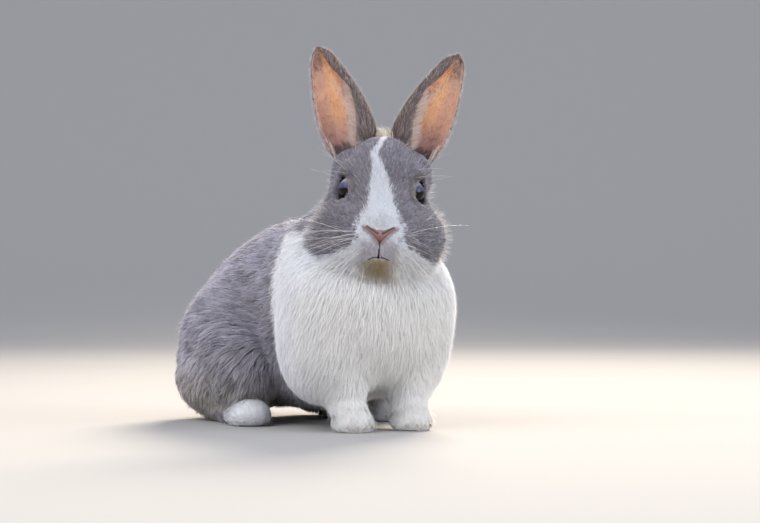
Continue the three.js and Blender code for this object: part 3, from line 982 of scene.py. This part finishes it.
def body_density(p, n):
    """Tufts for each square mm at body-frame points with those normals."""
    d = nearest_forms(p)
    q = d["local"]
    x, y, z = q.T
    on_face = mix(5.5, 3.0, ramp(y, -42, 20))
    on_body = mix(1.55, 2.1, ramp(-p[:, 1], 15, 35)) * mix(1, 0.6, ramp(-n[:, 2], 0.5, 0.9))
    density = blended(shares(d), head=on_face, body=on_body, fore=2.6, hind=2.6, tail=1.7)
    bare = (nose_pad(q) < 0.1) | (p[:, 2] < 1.2)
    for _, side in BOTH:
        _, _, along, rim = lid_place(q, side)
        bare |= (rim < LID_CLEAR) & (along > 0) & (along < 16)
    above, near = mouth_gap(q)
    bare |= near & (np.abs(above) < 0.75)
    bare |= near & (np.abs(x) < 0.6) & (above > 0) & (z < NOSE_Z - 3)
    return SHARE_GROWN * density * (1 - ear_share(p, d)) * ~bare


def noisy(points, length, share):
    """Points stirred by a share of the tuft's length, more towards the tip."""
    amount = (np.arange(STEPS + 1) / STEPS * share)[None, :, None] * length[:, None, None]
    return points + rng.normal(0, 1, points.shape) * amount


def body_length(p, q, w, eye_rim):
    """How long each tuft is: short around the eyes and over the mouth, and uneven."""
    _, y, z = q.T
    on_head = mix(2.0, 4.6, ramp(y, -44, -22))
    on_head = mix(on_head, 9.0, ramp(y, -10, 18) * ramp(-z, -14, 20))
    on_body = mix(16, 20, ramp(-p[:, 1], 30, 70))
    on_leg = mix(4.5, 11, ramp(p[:, 2], 12, 45))
    length = blended(w, head=on_head, body=on_body, fore=on_leg, hind=6.0, tail=13.0)
    length = length * rng.uniform(0.75, 1.15, len(p))
    above, near = mouth_gap(q)
    length = np.where(near & (above > 0), np.minimum(length, 0.5 + 0.8 * above), length)
    return length * mix(0.35, 1, ramp(eye_rim, 1.1, 2.3))


def body_way(p, d, w, white, normal, crown):
    """The way each tuft points: the lie of the coat, stirred by swirls, and upright in the crown's tuft."""
    way = along_skin(round_eyes(lie(p, d, w), d["local"]), normal)
    swirl = 0.26 * waves(p, 34, 21) + 0.14 * waves(p, 11, 22)
    swirl = swirl * mix(mix(1.0, 0.3, white), 0.5, w["head"])
    way = turned(way, normal, swirl + rng.normal(0, 0.12, len(p)) * mix(1, 0.5, w["head"]))
    return tint(way, np.array([0, 0.3, 1]), 0.85 * crown)


def body_colours(colour, white, head, stray, crown, lock):
    """The colours of the tufts at their roots and at their tips."""
    spread = mix(0.11, 0.03, white)
    lock_tone = 1 + rng.normal(0, 1, lock.max() + 1)[lock] * spread
    tone = (lock_tone * (1 + rng.normal(0, 1, len(white)) * spread))[:, None]
    frost = rng.random(len(white)) ** 2.5 * mix(0.65, 0.45, head)
    frost = np.maximum(frost, 0.75 * stray * (1 - crown))
    colour = tint(colour, GUARD, np.maximum(0.5 * stray * (1 - white), 0.92 * crown))
    tip = tint(tint(colour * 1.05, FROSTED, frost), colour * 1.02, white)
    # painted shade: the roots are darker, for the shade deep in the coat between the locks
    return colour * mix(0.77, 0.98, white[:, None]) * tone, tip * tone


def grow_body():
    """The tufts of the whole animal but the ears."""
    field = Sampled(lambda p: outline(nearest_forms(p)), LOW - 12, HIGH + 12, FIELD_CELL)
    roots, normal = scatter(body_density)
    count = len(roots)
    d = nearest_forms(roots)
    w = shares(d)
    q, head = d["local"], w["head"]
    x, y, z = q.T
    normal = unit(normal + field.read(roots)[1])
    colour, white = shade(roots, d, w, rng.normal(0, 1, count) * mix(1.3, 0.9, head))
    crown = ramp(-np.abs(x - 1), -9, -4) * ramp(y, 6, 12) * ramp(-y, -30, -24) * (z > 20)
    way = body_way(roots, d, w, white, normal, crown)
    eye_rim = np.min([np.where(lid_place(q, side)[2] > -6, lid_place(q, side)[3], 9) for _, side in BOTH], 0)
    length = body_length(roots, q, w, eye_rim)

    # single hairs that stand clear of the coat, and the fuller coat of the temples
    cheek = ramp(y, -20, -6) * ramp(np.abs(x), 15, 23) * ramp(-z, -9, 1) * head
    stray = rng.random(count) < mix(0.05, 0.006, head) + 0.13 * cheek
    stray |= rng.random(count) < 0.7 * crown
    stray &= (eye_rim > 2) & (y > -34)
    temple = ramp(np.abs(x), 17, 23) * ramp(z, -3, 6) * ramp(-z, -27, -17) * ramp(y, -8, 2)
    temple = temple * head * ramp(eye_rim, 2, 3)
    beyond = np.where(stray, rng.uniform(0.8, 3.6, count) * (1 + 2.2 * crown + 1.3 * cheek), 0)
    beyond = beyond + 2.4 * temple * rng.random(count)
    length = length * (1 + 0.4 * temple)
    length = np.where(stray, np.maximum(length, 9.5) + 7 * crown, length)

    depth = coat_depth(roots, d, w)
    reach = mix(mix(0.6, 0.84, white), 1.02, rng.random(count)) + beyond / depth
    points = comb(roots, normal, way, length, depth, reach, field.read)
    points = noisy(points, length, 0.03)
    pull = mix(mix(0.62, 0.07, white), 0.3, head)
    points, lock = gather(points, roots, normal, LOCK, np.where(stray, 0, pull))
    points = clear_of_eyes(points.reshape(-1, 3)).reshape(points.shape)
    on_head = mix(0.3, 0.42, ramp(y, -40, 0))
    width = blended(w, head=on_head, body=mix(0.62, 0.46, white), fore=0.42, hind=0.42, tail=0.55)
    width = width * rng.uniform(0.7, 1.2, count)
    width = np.where(stray, width * 0.4, width) / math.sqrt(SHARE_GROWN)
    tufts = {"roots": roots, "points": points, "normal": normal, "width": width}
    tufts["root_colour"], tufts["tip_colour"] = body_colours(colour, white, head, stray, crown, lock)
    for region, mine in (("head", head > 0.5), ("body", head <= 0.5)):
        coat_pieces(region, white[mine], **picked(tufts, mine))


def ear_coat_outline(side):
    """The field of one ear's solid, joined to the head's."""

    def field(p):
        q = in_head(p)
        wall = mix(*EAR_WALL, np.clip(ear_section(q, side)[0], 0, 1))
        return join(EAR_JOIN, outline(nearest_forms(p)), ear_wall(q, side, wall))

    return field


def ear_density(side):
    """Tufts for each square mm of one ear: only a few on the skin inside it."""

    def density(p, _normals):
        d = nearest_forms(p)
        _, inner, across, s = ear_tone(d["local"], side)
        skin_deep = inner * ramp(across, 0.3, 0.45) * ramp(-s, -0.92, -0.8) * ramp(s, 0.2, 0.3)
        each = mix(3.1, 0.2, skin_deep)
        return SHARE_GROWN * each * ear_share(p, d) * (d["local"][:, 0] * side > 0)

    return density


def straight(roots, way, length):
    """Tufts that don't lie on the skin, but go straight over an opening."""
    return roots[:, None] + way * (np.arange(STEPS + 1) / STEPS * length)[..., None]


def grow_ear(name, side):
    """Short hair over an ear, sparse inside it, longer along the rolled edge and at the root."""
    roots, normal = scatter(ear_density(side))
    q = in_head(roots)
    colour, inner, across, s = ear_tone(q, side)
    count = len(roots)
    axis, out, front = (way * [side, 1, 1] for way in (EAR_AXIS, EAR_OUT, EAR_FRONT))
    fringe = inner * ramp(-across, -0.22, -0.05)
    way = axis + (0.55 * fringe)[:, None] * out
    way = along_skin(way @ HEAD_AXES.T, normal)
    way = turned(way, normal, rng.normal(0, 0.16, count) + 0.2 * waves(roots, 12, 23))
    length = mix(7.0, 3.6, ramp(s, 0, 0.5)) * rng.uniform(0.7, 1.15, count)
    length = length * mix(1, 0.7, inner * (1 - fringe)) * mix(1, 1.5, fringe)
    depth = (mix(*EAR_WALL, np.clip(s, 0, 1)) - EAR_SKIN) / 2
    stray = rng.random(count) < 0.24 * (1 - inner)
    reach = rng.uniform(0.5, 1.05, count) * mix(1, 0.8, inner) + 0.9 * fringe * rng.random(count)
    reach = reach + stray * rng.uniform(0.8, 2.6, count) / depth
    points = comb(roots, normal, way, length, depth, reach, exactly(ear_coat_outline(side)))

    # upright hair closes the opening low down, and a fringe hangs over it from the rolled edge
    closing = (s < 0.2) & (ear_section(q, side)[2] > -4)
    upright = straight(roots, (axis + 0.12 * front) @ HEAD_AXES.T, 12)
    points = np.where(closing[:, None, None], upright, points)
    fringing = (across < 0.07) & (s > 0.14) & (s < 0.74)
    inwards = unit(0.8 * axis + 0.62 * out) @ HEAD_AXES.T
    reach_in = rng.uniform(3, 9, count) * ramp(-s, -0.76, -0.5)
    points = np.where(fringing[:, None, None], straight(roots, inwards, reach_in[:, None]), points)
    colour = np.where(fringing[:, None], EAR_SOFT, colour)

    points = noisy(points, length, 0.035)
    points, _ = gather(points, roots, normal, EAR_LOCK, 0.35)
    # painted rim light: along the ear's outer rim the tufts are cream, with pale tips
    rim = ramp(across, 0.91, 0.98)
    colour = tint(colour, EAR_PALE_TIPS_AND_RIM_LIGHT, 0.7 * rim)
    pale = np.maximum(0.95 * rim, 0.8 * stray) + 0.3 * rng.random(count) ** 3 * (1 - inner)
    tip = tint(colour * 1.08, EAR_PALE_TIPS_AND_RIM_LIGHT, np.clip(pale, 0, 1) * ~fringing)
    tone = (1 + rng.normal(0, 1, count) * mix(0.09, 0.02, inner))[:, None]
    finer = np.where(stray, 0.5, np.where(fringing, 0.75, 1))
    coat_pieces(
        f"ear_{name}",
        np.zeros(count),
        roots=roots,
        points=points,
        normal=normal,
        width=rng.uniform(0.2, 0.34, count) * finer / math.sqrt(SHARE_GROWN),
        root_colour=colour * mix(0.85, 1, inner[:, None]) * tone,
        tip_colour=tip * tone,
    )


# ---------- materials ----------
def add_node(tree, kind, **values):
    """A new shader node, with values for its inputs by their names."""
    node = tree.nodes.new(f"ShaderNode{kind}")
    for name, value in values.items():
        node.inputs[name].default_value = value
    return node


def link(node, output, end, entry):
    node.id_data.links.new(node.outputs[output], end.inputs[entry])


def new_material(name, roughness, specular=0.5):
    material = bpy.data.materials.new(name)
    material.use_nodes = True
    tree = material.node_tree
    shader = tree.nodes["Principled BSDF"]
    shader.inputs["Roughness"].default_value = roughness
    shader.inputs["Specular IOR Level"].default_value = specular
    return material, tree, shader


def noise_over(tree, scale, space="Object"):
    noise = add_node(tree, "TexNoise", Scale=scale)
    link(add_node(tree, "TexCoord"), space, noise, "Vector")
    return noise


def noise_bump(tree, shader, scale, strength, distance):
    noise = noise_over(tree, scale)
    noise.inputs["Detail"].default_value = 3
    bump = add_node(tree, "Bump", Strength=strength, Distance=distance)
    link(noise, "Fac", bump, "Height")
    link(bump, "Normal", shader, "Normal")
    return noise


def coloured_by_coat(tree, shader, scale, low, high):
    """The coat attribute's colour, varied by a fine noise."""
    own = add_node(tree, "Attribute")
    own.attribute_name = "coat"
    spread = add_node(tree, "MapRange", **{"To Min": low, "To Max": high})
    link(noise_over(tree, scale), "Fac", spread, "Value")
    product = add_node(tree, "VectorMath")
    product.operation = "SCALE"
    link(own, "Color", product, 0)
    link(spread, "Result", product, "Scale")
    link(product, "Vector", shader, "Base Color")
    return product


def coat_material():
    """Fine hair: some of the light goes through it."""
    material, tree, shader = new_material("coat", 0.62, 0.3)
    shader.inputs["Sheen Weight"].default_value = 0.3
    colour = coloured_by_coat(tree, shader, 900, 0.9, 1.1)
    through = add_node(tree, "BsdfTranslucent")
    link(colour, "Vector", through, "Color")
    both = add_node(tree, "MixShader", Fac=0.38)
    link(shader, "BSDF", both, 1)
    link(through, "BSDF", both, 2)
    link(both, "Shader", tree.nodes["Material Output"], "Surface")
    return material


def hide_material(name, roughness, specular, speckle, bump):
    """Bare skin in the coat attribute's colour: speckle is a noise's scale and range, bump its relief."""
    material, tree, shader = new_material(name, roughness, specular)
    coloured_by_coat(tree, shader, *speckle)
    noise_bump(tree, shader, *bump)
    return material


def colour_ramp(shader, source, output, *stops):
    """Colours the shader by a source's output, between stops of a place and a colour."""
    tones = add_node(shader.id_data, "ValToRGB")
    elements = tones.color_ramp.elements
    for element, (place, colour) in zip(elements, (stops[0], stops[-1])):
        element.position = place
        element.color = (*colour, 1)
    for place, colour in stops[1:-1]:
        elements.new(place).color = (*colour, 1)
    link(source, output, tones, "Fac")
    link(tones, "Color", shader, "Base Color")


def toned_material(name, roughness, dark, light, bump):
    """Horn or hair between two colours, mixed by the noise that also roughens it."""
    material, tree, shader = new_material(name, roughness)
    noise = noise_bump(tree, shader, *bump)
    colour_ramp(shader, noise, "Fac", (0, linear(*dark)), (1, linear(*light)))
    return material


def eye_material():
    """Dark below, with a painted reflection over its upper part: bluish, and paler towards the top."""
    material, tree, shader = new_material("eye", 0.05, 0.16)
    apart = add_node(tree, "SeparateXYZ")
    link(add_node(tree, "TexCoord"), "Generated", apart, "Vector")
    height = add_node(tree, "Math")
    height.operation = "MULTIPLY_ADD"
    height.inputs[1].default_value = 0.08
    link(noise_over(tree, 9, "Generated"), "Fac", height, 0)
    link(apart, "Z", height, 2)
    # above the dark lower half, the bluish and pale colours are a painted reflection, not the eye's own colour
    stops = [(0.57, (0.005, 0.004, 0.003)), (0.61, (0.045, 0.04, 0.10))]
    stops += [(0.78, (0.075, 0.073, 0.13)), (0.93, (0.36, 0.36, 0.42))]
    colour_ramp(shader, height, "Value", *stops)
    return material


MATERIALS = {
    "coat": coat_material(),
    "skin": hide_material("skin", 0.7, 0.3, (260, 0.9, 1.08), (900, 0.35, 0.0006)),
    "nose": hide_material("nose", 0.42, 0.5, (700, 0.85, 1.15), (2600, 0.5, 0.0003)),
    "claw": toned_material("claw", 0.35, (0.52, 0.44, 0.38), (0.78, 0.72, 0.64), (1500, 0.4, 0.0003)),
    "whisker": toned_material("whisker", 0.4, (0.80, 0.78, 0.75), (0.98, 0.97, 0.95), (800, 0.2, 0.0002)),
    "eye": eye_material(),
}


def ear_tone(q, side):
    """An ear's colour at head-frame points, how bare it is inside, and the place across and along it."""
    s, x, y = ear_section(q, side)
    inside = np.clip(s, 0, 1)
    half, deep, wall, end = ear_shape(inside)
    r = np.hypot(x / np.maximum(half - wall / 2, 0.8), y / np.maximum(deep - wall / 2, 0.6))
    inner = ramp(-r, -1.0, -0.97)
    angle = np.arctan2(y, x)
    angle = np.where(angle > EAR_RIM, angle - 2 * math.pi, angle)
    across = (angle - end) / (EAR_RIM - end)  # 0 at the rolled edge, 1 at the outer rim
    # higher up the inside is painted orange, the way light shining through the thin ear colours it
    bare = tint(EAR_PINK, EAR_ORANGE_GLOW, ramp(inside, 0.3, 0.5))
    bare = tint(bare, EAR_PINK * 0.85, 0.6 * ramp(across, 0.62, 0.85))
    veins = np.exp(-((waves(q * [1.6, 1, 0.45], 15, 34) / 0.16) ** 2))
    bare = tint(bare, bare * [0.88, 0.74, 0.68], 0.5 * veins)
    tipped = ramp(inside, 0.66, 0.92) * ramp(across, 0.35, 0.8)
    bare = tint(bare, EAR_BROWN, 0.75 * np.maximum(tipped, ramp(inside, 0.88, 0.97)))
    bare = tint(bare, EAR_BROWN, 0.5 * ramp(across, 0.9, 0.98))
    shown = x + half * np.cos(ear_roll(inside))  # how far it lies inside the rolled edge, seen from the front
    bare = tint(bare, EAR_SOFT, 0.85 * (ramp(-shown, -11, -5) * ramp(-inside, -0.8, -0.6)))
    closed = ramp(-inside - 0.02 * waves(q, 5, 35), -0.28, -0.21)
    bare = tint(bare, EAR_DOWN, closed)
    bare = bare * (1 + 0.04 * waves(q, 14, 31) + 0.02 * waves(q, 4, 32))[:, None]
    low = ramp(-inside, -0.3, 0)
    behind = ramp(-y, 0.3, 0.75 * np.maximum(deep, 1))  # the back of the ear is as grey as the body
    outer = tint(GREY_EAR, GREY * 0.72, 0.8 * behind)
    outer = outer * mix(1.15, 0.82, low * (1 - behind))[:, None]
    outer = outer * (1 + 0.08 * waves(q * [1, 1, 0.4], 6, 33))[:, None]
    return tint(outer, bare, inner), inner, across, s


def paint_skin():
    """The skin has the coat's colours, darker, and its own on the lids, the lips and around the nose; the lips'
    dark colour is partly painted shade, deepest in the mouth's and the philtrum's grooves.
    """
    mesh = skin.data
    p = from_row(positions(mesh))
    d = nearest_forms(p)
    q = d["local"]
    colour, white = shade(p, d)
    colour = colour * mix(0.8, 0.97, white)[:, None]
    ear = ear_share(p, d)
    for _, side in BOTH:
        colour = tint(colour, ear_tone(q, side)[0], ear * (q[:, 0] * side > 0))
        _, _, along, rim = lid_place(q, side)
        colour = tint(colour, LID, ramp(-rim, -1.16, -1.04) * (along > 0) * (along < 14))
    colour = tint(colour, PINK, ramp(-nose_pad(q), -0.8, -0.2))
    # painted shade: the lips darken with the depth of the mouth's and the philtrum's grooves
    colour = tint(colour, LIP_AND_GROOVE_SHADE, np.clip(face_folds(q) / 1.3, 0, 1))
    colour_attribute(mesh, colour)
    mesh.materials.append(MATERIALS["skin"])


paint_skin()
grow_body()
for ear_name, ear_side in BOTH:
    grow_ear(ear_name, ear_side)


# ---------- eyes, nose, claws and whiskers ----------
def build_eyes():
    """Eyeballs with the cornea's slight bulge in the way that they look."""
    turns, rows = 56, 36
    bulge, bulge_angle = 0.55, 0.75
    tilt = np.linspace(0, math.pi, rows + 1)[:, None, None]
    turn = np.linspace(0, 2 * math.pi, turns, endpoint=False)[:, None]
    radius = EYE_RADIUS + bulge * np.exp(-((tilt / bulge_angle) ** 2))
    rings = np.arange((rows - 1) * turns).reshape(rows - 1, turns)
    after = np.roll(rings, -1, 1)
    quads = np.stack([rings[:-1], rings[1:], after[1:], after[:-1]], -1).reshape(-1, 4)
    front, behind = rings.size, rings.size + 1
    caps = [(front, *pair) for pair in zip(rings[0], after[0])]
    caps += [(behind, *pair) for pair in zip(after[-1], rings[-1])]
    for name, side in BOTH:
        ring = np.cos(turn) * LID_ACROSS[side] + np.sin(turn) * LID_UPRIGHT[side]
        grid = radius * (np.cos(tilt) * GAZE[side] + np.sin(tilt) * ring)
        points = np.concatenate([grid[1:-1].reshape(-1, 3), grid[0, :1], grid[-1, :1]]) + EYES[side]
        eye = mesh_object(f"eyeball_{name}", to_row(out_of_head(points)), quads, caps)
        eye.data.materials.append(MATERIALS["eye"])
        finish_piece(eye, "eye", f"eye_{name}")


def nostril_depth(q):
    return np.minimum(*[nostril(q) for nostril in nostrils])


def nose_surface(q):
    return carve(0.5, nose_pad(q), nostril_depth(q))


def build_nose():
    vertices, quads = wrap(nose_surface, [-12, -53, -36], [12, -36, -20], NOSE_CELL, 3)
    vertices = relax(vertices, quads, nose_surface, 2, 0.3)
    nose = mesh_object("nose_leather", to_row(out_of_head(vertices)), quads)
    colour = tint(NOSE_WING, PINK, ramp(-np.abs(vertices[:, 0]), -4.5, -1))
    # painted shade: the nostril slits are darkened inside
    colour = tint(colour, LIP_AND_GROOVE_SHADE * 0.35, ramp(-nostril_depth(vertices), -0.5, 0.0))
    colour_attribute(nose.data, colour)
    nose.data.materials.append(MATERIALS["nose"])
    finish_piece(nose, "nose", "nose")


def tubes(paths, radii, sides):
    """Tapered tubes along paths of points: (n, steps, 3) with (n, steps) radii, closed at both ends."""
    n, steps, _ = paths.shape
    along = unit(np.gradient(paths, axis=1))
    aside = unit(np.cross(along, [0.31, 0.2, 0.93]))
    upwards = np.cross(along, aside)
    turn = np.linspace(0, 2 * math.pi, sides, endpoint=False)
    ring = np.cos(turn)[:, None] * aside[:, :, None] + np.sin(turn)[:, None] * upwards[:, :, None]
    points = paths[:, :, None] + ring * radii[:, :, None, None]
    at = np.arange(n * steps * sides).reshape(n, steps, sides)
    after = np.roll(at, -1, 2)
    quads = np.stack([at[:, :-1], after[:, :-1], after[:, 1:], at[:, 1:]], -1).reshape(-1, 4)
    caps = [tuple(row[::-1]) for row in at[:, 0]] + [tuple(row) for row in at[:, -1]]
    return points.reshape(-1, 3), quads, caps


def build_claws():
    """Four curved claws on each paw, from its toes' tips."""
    share = np.linspace(0, 1, 9)
    run = np.stack([0 * share, -7.6 * share, 0.5 * share - 3.4 * share**2], 1)
    radii = np.tile(1.35 * (1 - share) ** 0.6 + 0.12, (4, 1))
    for kind, tips in (("forepaw", FORE_TIPS), ("hindfoot", HIND_TIPS)):
        for name, side in BOTH:
            starts = np.array(tips[side]) + [0, -1.2, 0.6]
            points, quads, caps = tubes(starts[:, None] + run, radii, 8)
            claws = mesh_object(f"claws_{kind}_{name}", to_row(points), quads, caps)
            claws.data.materials.append(MATERIALS["claw"])
            finish_piece(claws, "claw", *[f"claw_{kind}_{name}_{i}" for i in (1, 2, 3, 4)])


def whisker_hairs(side):
    """The hairs of one side of the face: start and way in the head's frame, length and thickness."""
    for row, height in enumerate((-30, -33.5, -37, -40.5)):
        for column in range(6):
            start = [(8.5 + 2.3 * column) * side, -44.5 + 2.2 * column, height + rng.uniform(-1, 1)]
            droop = 0.02 - 0.27 * row + rng.normal(0, 0.22)
            way = [1.0 * side, rng.normal(0.05, 0.25), droop]
            yield start, way, rng.uniform(26, 50) + 3 * column, 0.085
    for column in range(4):  # over the eye
        start = [(18 + 1.5 * column) * side, -13 + 4 * column, rng.uniform(7, 15)]
        way = [1.0 * side, rng.normal(0, 0.4), rng.normal(0.45, 0.3)]
        yield start, way, rng.uniform(16, 30), 0.05
    for _ in range(70):  # the long hairs of the lips and the jaw
        across = rng.uniform(7, 30)
        start = [across * side, rng.uniform(-38, -22) + 0.5 * across, -45 - rng.uniform(0, 6)]
        way = [(across / 26 + rng.normal(0, 0.15)) * side, rng.normal(-0.1, 0.15), -1]
        yield start, way, rng.uniform(9, 20), 0.07


def build_whiskers():
    """Long tapering hairs from the lips and the brows, kept within the solids' box."""
    hairs = [hair for _, side in BOTH for hair in whisker_hairs(side)]
    starts, ways, sizes, thick = (np.array(each, float) for each in zip(*hairs))
    ways = unit(ways)
    steps = 12
    share = np.linspace(0, 1, steps)
    starts = in_head(settle(lambda p: outline(nearest_forms(p)) + 1.5, out_of_head(starts), 4, 4))
    low, high = LOW + 1, HIGH - 1
    bend = -(share**2)[None, :, None] * [0, 0, 0.16] + (share**2)[None, :, None] * [0, 0.12, 0]
    run = ways[:, None] * share[None, :, None] + bend
    for _ in range(12):
        paths = out_of_head(starts[:, None] + run * sizes[:, None, None])
        out = ((paths < low) | (paths > high)).any((1, 2))
        sizes = np.where(out, sizes * 0.88, sizes)
    paths = np.clip(paths, low, high)
    radii = thick[:, None] * (1 - share) ** 0.7 + 0.015
    points, quads, caps = tubes(paths, radii, 4)
    whiskers = mesh_object("whiskers", to_row(points), quads, caps)
    whiskers.data.materials.append(MATERIALS["whisker"])
    finish_piece(whiskers, "coat_white")


build_eyes()
build_nose()
build_claws()
build_whiskers()


# ---------- floor, light and camera, in metres ----------
ROOM = 3.2  # the floor's half width, and how far back its wall stands
WALL_TOP = 4.0
CURVE = 1.8  # the radius of the floor's rise to the wall
VIEW_TURN = math.radians(28)
TO_CAMERA = Vector((-math.sin(VIEW_TURN), -math.cos(VIEW_TURN), 0))
RIGHT = Vector((math.cos(VIEW_TURN), -math.sin(VIEW_TURN), 0))
UP = Vector((0, 0, 1))
LENS = 139.3
DISTANCE = 2.0
AIM = 0.116  # the height that the camera looks at
CAMERA_RISE = 0.019  # how far over that height it stands
CAMERA_ASIDE = -0.00102  # how far to the right of the eyes' middle it looks
LIGHT_AIM = 0.12
SKY = (0.80, 0.86, 1.0)
LIGHTS = (  # name, towards the camera, to its right and upwards, size, power, colour and spread
    ("key", (0.9, -0.9, 1.15), (1.4, 1.1), 17.5, (1, 0.98, 0.97), 180),
    ("fill", (0.7, 1.4, 0.6), (1.0, 0.8), 14, (0.93, 0.96, 1), 180),
    ("back", (-2.2, 0.6, 1.5), (1.2, 0.7), 23, (1, 0.88, 0.72), 60),
)


def stage():
    """A grey floor that curves up to a wall behind the animal."""
    profile = [(-ROOM, 0), (ROOM - CURVE, 0)]
    for angle in np.linspace(0.08, math.pi / 2, 16):
        profile.append((ROOM - CURVE + CURVE * math.sin(angle), CURVE - CURVE * math.cos(angle)))
    profile.append((ROOM, WALL_TOP))
    vertices = [(x, y, z) for y, z in profile for x in (-ROOM, ROOM)]
    quads = 2 * np.arange(len(profile) - 1)[:, None] + [0, 1, 3, 2]
    floor = mesh_object("floor", vertices, quads)
    floor.rotation_euler = (0, 0, -VIEW_TURN)
    material, _, shader = new_material("floor", 0.9, 0.1)
    shader.inputs["Base Color"].default_value = (*linear(0.64, 0.63, 0.62), 1)
    floor.data.materials.append(material)
    floor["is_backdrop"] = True


def turn_to(made, target):
    made.rotation_euler = (target - made.location).to_track_quat("-Z", "Y").to_euler()


def camera():
    data = bpy.data.cameras.new("camera")
    data.lens = LENS
    data.clip_end = 20
    made = in_scene("camera", data)
    middle = Vector(eye_middle()) * MM
    across = middle.dot(RIGHT) + CAMERA_ASIDE
    target = RIGHT * across + TO_CAMERA * middle.dot(TO_CAMERA) + UP * AIM
    made.location = target + TO_CAMERA * DISTANCE + UP * CAMERA_RISE
    turn_to(made, target)
    bpy.context.scene.camera = made


def lights():
    world = bpy.data.worlds.new("studio")
    bpy.context.scene.world = world
    world.use_nodes = True
    background = world.node_tree.nodes["Background"]
    background.inputs["Color"].default_value = (*SKY, 1)
    background.inputs["Strength"].default_value = 1.0
    for name, (near, aside, height), size, power, colour, spread in LIGHTS:
        data = bpy.data.lights.new(name, "AREA")
        data.shape = "RECTANGLE"
        data.size, data.size_y = size
        data.energy = power
        data.spread = math.radians(spread)
        data.color = colour
        made = in_scene(name, data)
        made.location = TO_CAMERA * near + RIGHT * aside + UP * height
        turn_to(made, UP * LIGHT_AIM)


stage()
camera()
lights()
bpy.context.scene.view_settings.view_transform = "Standard"

size = [[list(corner) for corner in box] for box in (CAD_BOX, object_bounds())]
